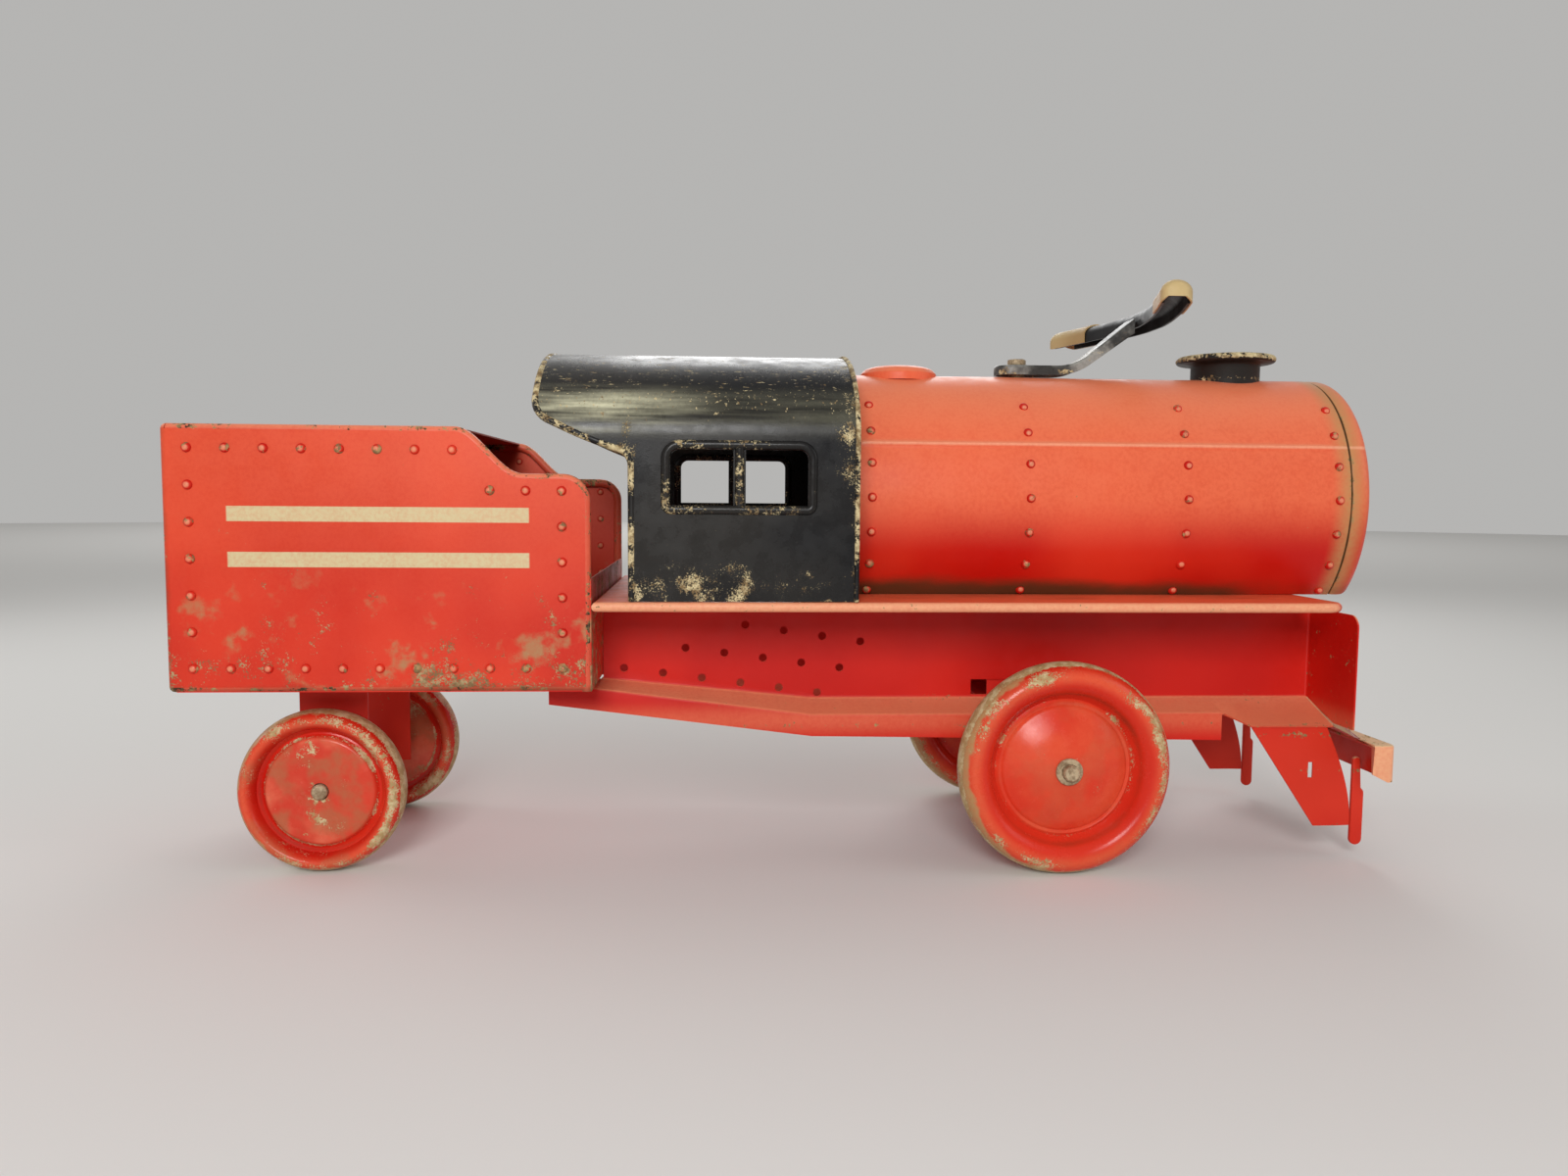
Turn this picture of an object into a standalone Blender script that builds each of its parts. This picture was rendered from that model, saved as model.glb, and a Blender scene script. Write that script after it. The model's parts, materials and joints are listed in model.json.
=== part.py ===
"""Ride-on toy locomotive of pressed sheet steel, with a steered front axle.

The locomotive faces +X, its right side is -Y and it stands on Z = 0.
Sizes below are in millimetres; the meshes are in metres.
"""
import math

import bmesh
import bpy
from mathutils import Vector

MM = 0.001

# Sheet and clearances
SHEET = 1.0             # body sheet
STRAP = 2.5             # thicker strap steel of the brackets
GAP = 0.3               # seam between pieces that touch
PLAY = 0.5              # radial play of a turning piece
AXLE_R = 4.75
POST_R = 5.0

# Lengths along X, from the tail to the nose
TENDER_LENGTH = 240.0
CAB_SPACE = 22.0        # open space between tender and cab
CAB_LENGTH = 134.0
BOILER_LENGTH = 319.0
CAP_DEPTH = 16.0

# Running board
DECK_TOP = 169.5
DECK_HALF = 113.0
DECK_EDGE = 6.0         # height of the rolled edge
DECK_CORNER = 12.0
DECK_SETBACK = 20.0     # from the boiler seam back to the deck's front edge

# Tender
TENDER_INSET = 0.5      # its sides inside the deck's edges
TENDER_DROP = 52.5      # tender bottom below the deck top
TENDER_HEIGHT = 153.0
TENDER_CORNER = 4.0
STEP_DROP = 26.5        # the side's step down towards the cab
STEP_LENGTH = 39.0
STEP_FLAT = 38.0        # level part of the side ahead of the step
SIDE_CORNER = 16.0
FRONT_WALL = 66.0

# Cab
CAB_INSET = 2.0
CAB_WALL = 96.5         # straight part of the side above the deck
ROOF_RISE = 57.0
ROOF_OVERHANG = 55.5
VISOR_FRONT = 88.0      # underside of the overhang above the deck, at the cab
VISOR_REAR = 107.0      # and at its rear edge
VISOR_CORNER = 9.0
PANE_WIDTH = 36.6
PANE_HEIGHT = 32.3
PANE_SILL = 56.5
PANE_INSET = 23.7
PANE_CORNER = 5.5
MULLION = 7.2

# Boiler, an upright ellipse cut off by the deck
BOILER_HALF = 75.0
BOILER_RISE = 83.2
BOILER_AXIS = 60.5      # above the deck
DOME_AHEAD = 39.5       # dome centre ahead of the cab
DOME_R = 26.0
DOME_RISE = 6.5
STACK_BACK = 52.0       # stack centre behind the boiler seam
STACK_NECK_R = 23.0
STACK_DISC_R = 32.5
STACK_RISE = 16.0

# Side frames
WEB_HALF = 43.0
LIP_HALF = 68.0
FRAME_TUCK = 31.0       # length of the ledge under the tender
FRAME_BEND = 111.0      # from the cab rear to the end of the sloping part
LEDGE_DROP = 69.0       # ledge at the web, below the deck top
LEDGE_FALL = 6.0        # outward fall of the ledge
LIP_DEPTH = 14.0        # at the bend and behind it
LIP_FRONT = 18.0        # at the lip's front end
LIP_BACK = 76.0         # lip's front end behind the boiler seam
SHELF_FLARE = 15.0      # length over which the ledge widens into the shelf
SHELF_PROUD = 1.0       # shelf edge outside the pilot plates
FLANGE_BACK = 8.0
FLANGE_INSET = 13.0     # flange's outer edge inside the deck's
FLANGE_DROP = 3.0       # flange's top below the deck's rolled edge
FLANGE_FOOT = 4.0       # flange's lower edge above the shelf
FLANGE_CORNER = 8.0
WEB_RELIEF = 2.0        # web clear of the deck's rolled edge
PUNCH_R = 2.6
PUNCH_PITCH = 25.0
PUNCH_ROWS = ((4, 69.5, 21.0, 0.145), (5, 31.0, 36.0, 0.13), (6, -8.5, 49.0, 0.13))
NOTCH_REACH = 12.0      # opening in the web above the yoke, beyond it on each side
NOTCH_HEIGHT = 10.0
NOTCH_LIFT = 2.0
CROSS_HALF = 26.0       # cross member along X
CROSS_HEIGHT = 18.0
CROSS_DROP = 3.5        # its underside below the ledge

# Pilot and buffer beam
SHELF_DROP = 82.0       # shelf over the pilot, below the deck top
PILOT_INSET = 33.0      # side plates inside the beam's ends
PILOT_REAR = 77.0       # behind the nose, at the shelf
PILOT_TOE = 33.0        # behind the nose, at the bottom
PILOT_LENGTH = 50.0
PILOT_BOTTOM = 22.0
PILOT_BEND = 1.0
SLOT_BACK = 36.5        # slot in the side plate, behind the nose
SLOT_LIFT = 4.0
SLOT_WIDTH = 3.0
SLOT_HEIGHT = 10.0
BEAM_INSET = 3.0        # beam's ends inside the deck's edges
BEAM_LENGTH = 15.0
BEAM_DEPTH = 23.0
BEAM_CORNER = 5.0
BEAM_FALL = 6.0         # beam top below the shelf
TOE_BOTTOM = 9.0
TOE_DROP = 11.5         # toe's top below the beam
TOE_LENGTH = 8.0
TOE_WIDTH = 3.0

# Wheels and running gear
FRONT_WHEEL_R = 66.0
FRONT_SPACER = 29.9
FRONT_WHEEL_HALF = 13.0
POST_BACK = 146.0           # steering post behind the stack
AXLE_LEAD = 10.0            # front axle ahead of the post
REAR_WHEEL_R = 50.0
REAR_SPACER = 7.9
REAR_WHEEL_HALF = 12.0
REAR_AXLE_IN = 72.0         # ahead of the tail
HUB_WALL = 2.25
HUB_PROUD = 1.5             # sleeve beyond the wheel's inner side
WASHER_PROUD = 0.8          # washer's edge beyond the hub's
WASHER = 2.0
NUT = 9.6
NUT_HEIGHT = 4.5
BRACKET_HALF = 50.0
BRACKET_WIDTH = 42.0
YOKE_HALF = 50.0
YOKE_WIDTH = 40.0
LEG_END = 10.0              # bracket material below an axle's centre

# Handle
STEM_HALF = 11.0
STEM_SHEET = 1.5            # of the stem and the bar
STEM_LIFT = 1.5             # clear of the boiler top
STEM_REAR = 15.5            # behind the post
STEM_SKIRT = 6.5            # depth of its turned-down sides
STEM_FLAT = 37.0            # level part ahead of the post
STEM_RISE = 32.0            # at the bar
STEM_DEEPEN = 3.5           # added depth of the sides at the bar
BOLT_R = 6.5
BOLT_HEIGHT = 4.0
BAR_AHEAD = 87.5            # middle of the bar, ahead of the post
BAR_OVER = 2.0              # ends of the bar beyond the deck's edges
BAR_SWEEP = 24.0            # ends behind the middle
BAR_HALF = 8.5              # section: an arch on two legs
BAR_CROWN = 6.0
BAR_LEG = 6.0
GRIP_LENGTH = 48.0

# Widths that follow
TENDER_HALF = DECK_HALF - TENDER_INSET
CAB_HALF = DECK_HALF - CAB_INSET
FLANGE_HALF = DECK_HALF - FLANGE_INSET
BEAM_HALF = DECK_HALF - BEAM_INSET
PILOT_HALF = BEAM_HALF - PILOT_INSET
BAR_SPAN = DECK_HALF + BAR_OVER
HUB_R = AXLE_R + PLAY + HUB_WALL
WASHER_R = HUB_R + WASHER_PROUD
REAR_WHEEL_Y = BRACKET_HALF + REAR_SPACER + 2 * GAP + HUB_PROUD + REAR_WHEEL_HALF
FRONT_WHEEL_Y = YOKE_HALF + FRONT_SPACER + 2 * GAP + HUB_PROUD + FRONT_WHEEL_HALF
NOTCH_HALF = (YOKE_WIDTH + AXLE_LEAD) / 2 + NOTCH_REACH

# Stations and heights that follow
SEAT_LENGTH = TENDER_LENGTH - STEP_LENGTH - STEP_FLAT
LENGTH = TENDER_LENGTH + CAB_SPACE + CAB_LENGTH + BOILER_LENGTH + CAP_DEPTH
X_TAIL = -LENGTH / 2
X_TENDER = X_TAIL + TENDER_LENGTH
X_CAB = X_TENDER + CAB_SPACE
X_BOILER = X_CAB + CAB_LENGTH
X_SEAM = X_BOILER + BOILER_LENGTH
X_NOSE = X_SEAM + CAP_DEPTH
X_DECK = X_SEAM - DECK_SETBACK
X_REAR_AXLE = X_TAIL + REAR_AXLE_IN
X_FLANGE = X_SEAM - FLANGE_BACK
X_STACK = X_SEAM - STACK_BACK
X_POST = X_STACK - POST_BACK
Z_TENDER = DECK_TOP - TENDER_DROP
Z_TENDER_TOP = Z_TENDER + TENDER_HEIGHT
Z_BOILER = DECK_TOP + BOILER_AXIS
Z_BOILER_TOP = Z_BOILER + BOILER_RISE
Z_CAB = DECK_TOP + GAP
Z_LEDGE = DECK_TOP - LEDGE_DROP
Z_SHELF = DECK_TOP - SHELF_DROP
Z_CROSS = Z_LEDGE - SHEET - CROSS_DROP
Z_YOKE = Z_CROSS - GAP
Z_STEM = Z_BOILER_TOP + STEM_LIFT + STEM_SKIRT
Z_BAR = Z_STEM + STEM_RISE


def clear_scene():
    for obj in list(bpy.data.objects):
        bpy.data.objects.remove(obj, do_unlink=True)


def paint(name, colour, roughness, metallic):
    mat = bpy.data.materials.new(name)
    mat.use_nodes = True
    shader = mat.node_tree.nodes["Principled BSDF"]
    shader.inputs["Base Color"].default_value = (*colour, 1.0)
    shader.inputs["Roughness"].default_value = roughness
    shader.inputs["Metallic"].default_value = metallic
    return mat


def place(name, bm, mat, parent=None, sharp=35.0):
    """Turn a bmesh in millimetres into a named object, smooth up to the sharp angle."""
    bmesh.ops.scale(bm, vec=(MM, MM, MM), verts=bm.verts)
    mesh = bpy.data.meshes.new(name)
    bm.to_mesh(mesh)
    bm.free()
    mesh.shade_smooth()
    mesh.set_sharp_from_angle(angle=math.radians(sharp))
    mesh.materials.append(mat)
    obj = bpy.data.objects.new(name, mesh)
    bpy.context.collection.objects.link(obj)
    obj.parent = parent
    return obj


def solid(loops):
    """Skin a row of loops of equal count and cap both ends."""
    bm = bmesh.new()
    rows = [[bm.verts.new(p) for p in loop] for loop in loops]
    count = len(rows[0])
    for a, b in zip(rows, rows[1:]):
        for i in range(count):
            j = (i + 1) % count
            bm.faces.new((a[i], a[j], b[j], b[i]))
    bm.faces.new(rows[0])
    bm.faces.new(rows[-1])
    bmesh.ops.recalc_face_normals(bm, faces=bm.faces)
    return bm


def prism(outline, lift, low, high):
    """Extrude a flat outline; lift(point, height) gives the point in space."""
    return solid([[lift(p, low) for p in outline], [lift(p, high) for p in outline]])


def along_x(p, h):
    return (h, p[0], p[1])


def along_y(p, h):
    return (p[0], h, p[1])


def along_z(p, h):
    return (p[0], p[1], h)


def box(low, high):
    outline = [(low[0], low[1]), (high[0], low[1]), (high[0], high[1]), (low[0], high[1])]
    return prism(outline, along_z, low[2], high[2])


def turned(outline, axis, centre=(0, 0, 0), segments=32):
    """Turn an outline of (radius, height) about an axis through centre.

    The outline is closed, unless both its ends lie on the axis.
    """
    bm = bmesh.new()
    rows = []
    for k in range(segments):
        u, v = math.cos(math.tau * k / segments), math.sin(math.tau * k / segments)
        row = []
        for r, h in outline:
            at = (r * u, -h, r * v) if axis == "Y" else (r * u, r * v, h)
            row.append(bm.verts.new(Vector(centre) + Vector(at)))
        rows.append(row)
    open_ends = outline[0][0] == 0 and outline[-1][0] == 0
    for a, b in zip(rows, rows[1:] + rows[:1]):
        for i in range(len(outline) - open_ends):
            j = (i + 1) % len(outline)
            bm.faces.new((a[i], a[j], b[j], b[i]))
    bmesh.ops.remove_doubles(bm, verts=bm.verts, dist=0.0001)
    bmesh.ops.recalc_face_normals(bm, faces=bm.faces)
    return bm


def rod(radius, low, high, axis, centre=(0, 0, 0), segments=24):
    """A plain round bar from low to high along Y or Z."""
    ring = [(radius * math.cos(math.tau * k / segments), radius * math.sin(math.tau * k / segments))
            for k in range(segments)]
    if axis == "Y":
        return prism([(centre[0] + u, centre[2] + v) for u, v in ring], along_y, low, high)
    return prism([(centre[0] + u, centre[1] + v) for u, v in ring], along_z, low, high)


def collar(side, near, far, radius, centre):
    """A ring on an axle, from near to far out from the middle on one side."""
    low, high = sorted((-side * near, -side * far))
    bore = AXLE_R + GAP
    return turned([(bore, high), (radius, high), (radius, low), (bore, low)], "Y", centre, 24)


def arc(cx, cy, radius, start, end, steps):
    """Points of a circular arc, angles in degrees."""
    points = []
    for k in range(steps + 1):
        a = math.radians(start + (end - start) * k / steps)
        points.append((cx + radius * math.cos(a), cy + radius * math.sin(a)))
    return points


def offset(path, distance):
    """A polyline moved sideways by distance, to its left."""
    moved = []
    for i, point in enumerate(path):
        here = Vector(point)
        before = Vector(path[i - 1]) if i else here - (Vector(path[1]) - here)
        after = Vector(path[i + 1]) if i + 1 < len(path) else here + (here - before)
        d1, d2 = (here - before).normalized(), (after - here).normalized()
        n1, n2 = Vector((-d1.y, d1.x)), Vector((-d2.y, d2.x))
        mean = (n1 + n2).normalized()
        moved.append(tuple(here + mean * distance / max(mean.dot(n1), 0.5)))
    return moved


def sheet(faces, name, mat, thickness=SHEET, parent=None, sharp=35.0):
    """A bent sheet: the given faces are its outside, and the thickness lies behind them."""
    bm = bmesh.new()
    verts = {}
    for face in faces:
        corners = []
        for p in face:
            key = tuple(round(c, 4) for c in p)
            if key not in verts:
                verts[key] = bm.verts.new(p)
            corners.append(verts[key])
        bm.faces.new(corners)
    obj = place(name, bm, mat, parent, sharp)
    wall = obj.modifiers.new("sheet", "SOLIDIFY")
    wall.thickness = thickness * MM
    wall.offset = -1.0
    wall.use_even_offset = True
    return obj


def strip(row_a, row_b):
    """Quads between two rows of points."""
    return [(row_a[i], row_b[i], row_b[i + 1], row_a[i + 1]) for i in range(len(row_a) - 1)]


def mirror_y(faces):
    """The same faces on the other side, turned so that they still face out."""
    return [tuple((x, -y, z) for x, y, z in reversed(face)) for face in faces]


def cut(obj, name, bm):
    """Take the shape in bm out of obj."""
    tool = place(name, bm, obj.data.materials[0], obj.parent)
    tool.hide_render = True
    tool.display_type = "WIRE"
    boolean = obj.modifiers.new(name, "BOOLEAN")
    boolean.operation = "DIFFERENCE"
    boolean.solver = "EXACT"
    boolean.object = tool


def pivot(name, location, parent=None, turn=0.0):
    empty = bpy.data.objects.new(name, None)
    bpy.context.collection.objects.link(empty)
    empty.parent = parent
    empty.location = Vector(location) * MM
    empty.rotation_euler.z = turn
    return empty


def ellipse_arc(half, rise, floor, steps):
    """(y, z) points of the boiler's section above floor, from -y over the top to +y."""
    t = math.asin((floor - Z_BOILER) / rise)
    angles = [math.pi - t + (2 * t - math.pi) * k / steps for k in range(steps + 1)]
    return [(half * math.cos(a), Z_BOILER + rise * math.sin(a)) for a in angles]


def make_deck(mat):
    def outline(inset):
        half, front, rear = DECK_HALF - inset, X_DECK - inset, X_TENDER + GAP + inset
        r = max(DECK_CORNER - inset, 1.0)
        return ([(rear, half), (rear, -half)] + arc(front - r, -half + r, r, -90, 0, 5)
                + arc(front - r, half - r, r, 0, 90, 5))

    bead = DECK_EDGE / 2
    rim = [(bead - u, DECK_TOP - bead + v) for u, v in arc(0, 0, bead, 90, -90, 6)]
    rim += [(bead + u, DECK_TOP - bead - v) for u, v in arc(0, 0, bead, 60, 0, 2)]
    rim += [(2 * bead, DECK_TOP - SHEET)]
    deck = place("deck", solid([[(x, y, z) for x, y in outline(inset)] for inset, z in rim]), mat)
    cut(deck, "deck_post_hole",
        rod(POST_R + PLAY, DECK_TOP - DECK_EDGE, DECK_TOP + DECK_EDGE, "Z", (X_POST, 0, 0)))


def make_side_frame(side, mat):
    """Web, sloping ledge, down-turned lip and out-turned front flange, pressed from one sheet."""
    x_rear, x_bend = X_TENDER - FRAME_TUCK, X_CAB + FRAME_BEND
    x_lip, x_front = X_SEAM - LIP_BACK, X_FLANGE
    z_rear = Z_TENDER - 2 * GAP

    def ledge(x, fall=0.0):
        share = min(max((x_bend - x) / (x_bend - x_rear), 0.0), 1.0)
        return Z_LEDGE + (z_rear - Z_LEDGE) * share - fall * (1.0 - 0.8 * share)

    web_x = [X_TENDER + GAP, X_CAB, x_bend, X_POST, x_lip, x_lip + SHELF_FLARE, x_front]
    rows = [x_rear] + web_x
    inner = [(x, -WEB_HALF, ledge(x)) for x in rows]
    outer = [(x, -LIP_HALF, ledge(x, LEDGE_FALL)) for x in rows if x <= x_lip]
    y_shelf = -PILOT_HALF - SHELF_PROUD
    wide = [(x_lip + SHELF_FLARE, y_shelf, Z_SHELF + SHEET), (x_front, y_shelf, Z_SHELF)]

    def lip(x):
        share = max((x - x_bend) / (x_lip - x_bend), 0.0)
        return LIP_DEPTH + (LIP_FRONT - LIP_DEPTH) * share

    hem = [(x, y, z - lip(x)) for x, y, z in outer]

    z_web, z_flange = DECK_TOP - SHEET - GAP, DECK_TOP - DECK_EDGE - FLANGE_DROP
    web = [(x, -WEB_HALF, ledge(x)) for x in web_x]
    x_high, relief = X_DECK - DECK_EDGE - WEB_RELIEF, X_TENDER + DECK_EDGE + WEB_RELIEF
    web += [(x, -WEB_HALF, z) for x, z in
            ((x_front, z_flange), (x_high, z_flange), (x_high, z_web), (relief, z_web),
             (relief, z_flange), (X_TENDER + GAP, z_flange))]
    round_top = arc(-FLANGE_HALF + FLANGE_CORNER, z_flange - FLANGE_CORNER, FLANGE_CORNER, 90, 180, 4)
    flange = [(x_front, -WEB_HALF, ledge(x_front)), (x_front, -WEB_HALF, z_flange)]
    flange += [(x_front, y, z) for y, z in round_top]
    z_foot = Z_SHELF + FLANGE_FOOT
    flange += [(x_front, -FLANGE_HALF, z_foot), (x_front, y_shelf, z_foot)]

    faces = [tuple(web)] + strip(inner[:len(outer)], outer) + strip(outer, hem) + [tuple(reversed(flange))]
    tail = [inner[len(outer) - 1]] + inner[len(outer):]
    shelf = [outer[-1]] + wide
    faces += strip(tail, shelf)
    if side > 0:
        faces = mirror_y(faces)
    name = "side_frame_left" if side > 0 else "side_frame_right"
    frame = sheet(faces, name, mat)

    reach = side * (WEB_HALF - 5.0), side * (WEB_HALF + 5.0)
    for r, (count, ahead, drop, slope) in enumerate(PUNCH_ROWS):
        for k in range(count):
            x, z = X_CAB + ahead + PUNCH_PITCH * k, DECK_TOP - drop - slope * PUNCH_PITCH * k
            cut(frame, f"{name}_punch_{r}_{k}", rod(PUNCH_R, min(reach), max(reach), "Y", (x, 0, z), 10))
    z_notch = Z_LEDGE + NOTCH_LIFT
    cut(frame, f"{name}_notch", box((X_POST - NOTCH_HALF, min(reach), z_notch),
                                    (X_POST + NOTCH_HALF, max(reach), z_notch + NOTCH_HEIGHT)))


def make_cross_member(mat):
    """Channel between the webs that carries the steering."""
    half = WEB_HALF - SHEET - GAP
    z_top = Z_CROSS + CROSS_HEIGHT
    path = [(-half, z_top), (-half, Z_CROSS), (half, Z_CROSS), (half, z_top)]
    outline = path + list(reversed(offset(path, SHEET)))
    member = place("cross_member", prism(outline, along_x, X_POST - CROSS_HALF, X_POST + CROSS_HALF), mat)
    cut(member, "cross_member_post_hole",
        rod(POST_R + PLAY, Z_CROSS - 5.0, Z_CROSS + 5.0, "Z", (X_POST, 0, 0)))


def make_boiler(mat, cap_mat):
    section = ellipse_arc(BOILER_HALF, BOILER_RISE, DECK_TOP + GAP, 44)
    rear = [(X_BOILER + GAP, y, z) for y, z in section]
    front = [(X_SEAM, y, z) for y, z in section]
    shell = sheet(strip(rear, front), "boiler_shell", mat)
    cut(shell, "boiler_post_hole",
        rod(POST_R + PLAY, Z_BOILER_TOP - 12.0, Z_BOILER_TOP + 5.0, "Z", (X_POST, 0, 0)))

    def ring(x, inset):
        points = ellipse_arc(BOILER_HALF - inset, BOILER_RISE - inset, DECK_TOP + GAP + inset, 36)
        return [(x, y, z) for y, z in points]

    depth = CAP_DEPTH
    outside = [ring(X_NOSE - depth * a, inset) for a, inset in
               ((0.0, 13.0), (0.05, 7.5), (0.2, 3.2), (0.45, 0.7), (1.0 - GAP / depth, 0.0))]
    inside = [ring(X_SEAM + GAP, SHEET), ring(X_NOSE - depth * 0.45, SHEET + 0.9),
              ring(X_NOSE - depth * 0.2 - SHEET, SHEET + 3.5), ring(X_NOSE - SHEET, SHEET + 9.0)]
    place("boiler_front", solid(outside + inside), cap_mat)


def seat_on_boiler(obj, name, x, reach):
    """Hollow the underside of a fitting to the boiler's curve."""
    section = ellipse_arc(BOILER_HALF + GAP, BOILER_RISE + GAP, Z_BOILER, 44)
    cut(obj, name, prism(section, along_x, x - reach, x + reach))


def make_dome(mat):
    x = X_BOILER + DOME_AHEAD
    low = -BOILER_RISE * (1 - math.sqrt(1 - (DOME_R / BOILER_HALF) ** 2)) - SHEET
    cap = [(DOME_R * math.cos(a), DOME_RISE * math.sin(a))
           for a in (math.radians(d) for d in range(0, 90, 15))] + [(0, DOME_RISE)]
    outline = [(0, low), (DOME_R, low)] + cap
    dome = place("dome", turned(outline, "Z", (x, 0, Z_BOILER_TOP)), mat)
    seat_on_boiler(dome, "dome_seat", x, 2 * DOME_R)


def make_stack(mat):
    low = -BOILER_RISE * (1 - math.sqrt(1 - (STACK_NECK_R / BOILER_HALF) ** 2)) - SHEET
    neck = [(STACK_NECK_R, low), (STACK_NECK_R, 0.45 * STACK_RISE), (STACK_NECK_R + 1.5, 0.6 * STACK_RISE)]
    disc = [(STACK_DISC_R - 1.0, 0.7 * STACK_RISE), (STACK_DISC_R, 0.8 * STACK_RISE),
            (STACK_DISC_R - 1.0, 0.92 * STACK_RISE), (STACK_DISC_R - 5.0, STACK_RISE)]
    dish = [(STACK_NECK_R, 0.9 * STACK_RISE), (0, 0.88 * STACK_RISE)]
    stack = place("stack", turned([(0, low)] + neck + disc + dish, "Z", (X_STACK, 0, Z_BOILER_TOP)), mat)
    seat_on_boiler(stack, "stack_seat", X_STACK, 2 * STACK_NECK_R)


def cab_section(inset=0.0):
    """(y, z) points of the cab's section from the -y foot over the roof to the +y foot."""
    half, spring = CAB_HALF - inset, DECK_TOP + CAB_WALL
    roof = [(half * math.cos(math.radians(a)), spring + (ROOF_RISE - inset) * math.sin(math.radians(a)))
            for a in range(180, -1, -6)]
    return [(-half, Z_CAB)] + roof + [(half, Z_CAB)]


def make_cab(mat):
    x_tail = X_CAB - ROOF_OVERHANG
    rear = [(x_tail, y, z) for y, z in cab_section()]
    front = [(X_BOILER, y, z) for y, z in cab_section()]
    shell = sheet(strip(rear, front), "cab_shell", mat)

    z_front, z_rear, r = DECK_TOP + VISOR_FRONT, DECK_TOP + VISOR_REAR, VISOR_CORNER
    corner = arc(X_CAB - r, z_front - r, r, 0, 75, 4)
    below = [(x_tail - 5.0, Z_CAB - 5.0), (X_CAB, Z_CAB - 5.0)] + corner
    below += [(x_tail + 8.0, z_rear - 3.0), (x_tail + 2.0, z_rear), (x_tail - 5.0, z_rear + 7.0)]
    wide = CAB_HALF + 5.0
    cut(shell, "cab_cutaway", prism(below, along_y, -wide, wide))

    for k in range(2):
        x0 = X_CAB + PANE_INSET + k * (PANE_WIDTH + MULLION)
        z0, z1 = DECK_TOP + PANE_SILL, DECK_TOP + PANE_SILL + PANE_HEIGHT
        pane = [(x0, z0), (x0 + PANE_WIDTH, z0)]
        x1, r = x0 + PANE_WIDTH, PANE_CORNER
        if k:
            pane += arc(x1 - r, z1 - r, r, 0, 90, 4) + [(x0, z1)]
        else:
            pane += [(x1, z1)] + arc(x0 + r, z1 - r, r, 90, 180, 4)
        cut(shell, f"cab_pane_{k}", prism(pane, along_y, -wide, wide))
    wall = cab_section(SHEET + GAP)
    place("cab_front", prism(wall, along_x, X_BOILER - SHEET, X_BOILER), mat)


def make_tender(mat):
    z0, z1, x0, x1, r = Z_TENDER, Z_TENDER_TOP, X_TAIL, X_TENDER, TENDER_CORNER
    z_step, x_seat = z1 - STEP_DROP, X_TAIL + SEAT_LENGTH
    wave = [(x_seat + STEP_LENGTH * k / 10, z_step + STEP_DROP * (1 + math.cos(math.pi * k / 10)) / 2)
            for k in range(11)]
    nose = arc(x1 - SIDE_CORNER, z_step - SIDE_CORNER, SIDE_CORNER, 90, 0, 5)
    profile = [(x0 + r, z0), (x1, z0)] + list(reversed(nose)) + list(reversed(wave)) + [(x0 + r, z1)]
    right = [tuple((x, -TENDER_HALF, z) for x, z in profile)]
    plan = ([(x0 + r, -TENDER_HALF)] + arc(x0 + r, -TENDER_HALF + r, r, -90, -180, 3)[1:]
            + arc(x0 + r, TENDER_HALF - r, r, 180, 90, 3))
    back = strip([(x, y, z0) for x, y in plan], [(x, y, z1) for x, y in plan])
    sheet(right + mirror_y(right) + back, "tender_body", mat)

    half, rear = TENDER_HALF - SHEET - GAP, x0 + SHEET + GAP

    def plate(front):
        return [(rear, half - r), (rear, -half + r), (rear + r, -half), (front, -half), (front, half),
                (rear + r, half)]

    place("tender_top", prism(plate(x_seat), along_z, z1 - SHEET, z1), mat)
    place("tender_floor", prism(plate(x1 - SHEET - GAP), along_z, z0, z0 + SHEET), mat)
    place("tender_front", box((x1 - SHEET, -half, z0), (x1, half, z0 + FRONT_WALL)), mat)


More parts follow.
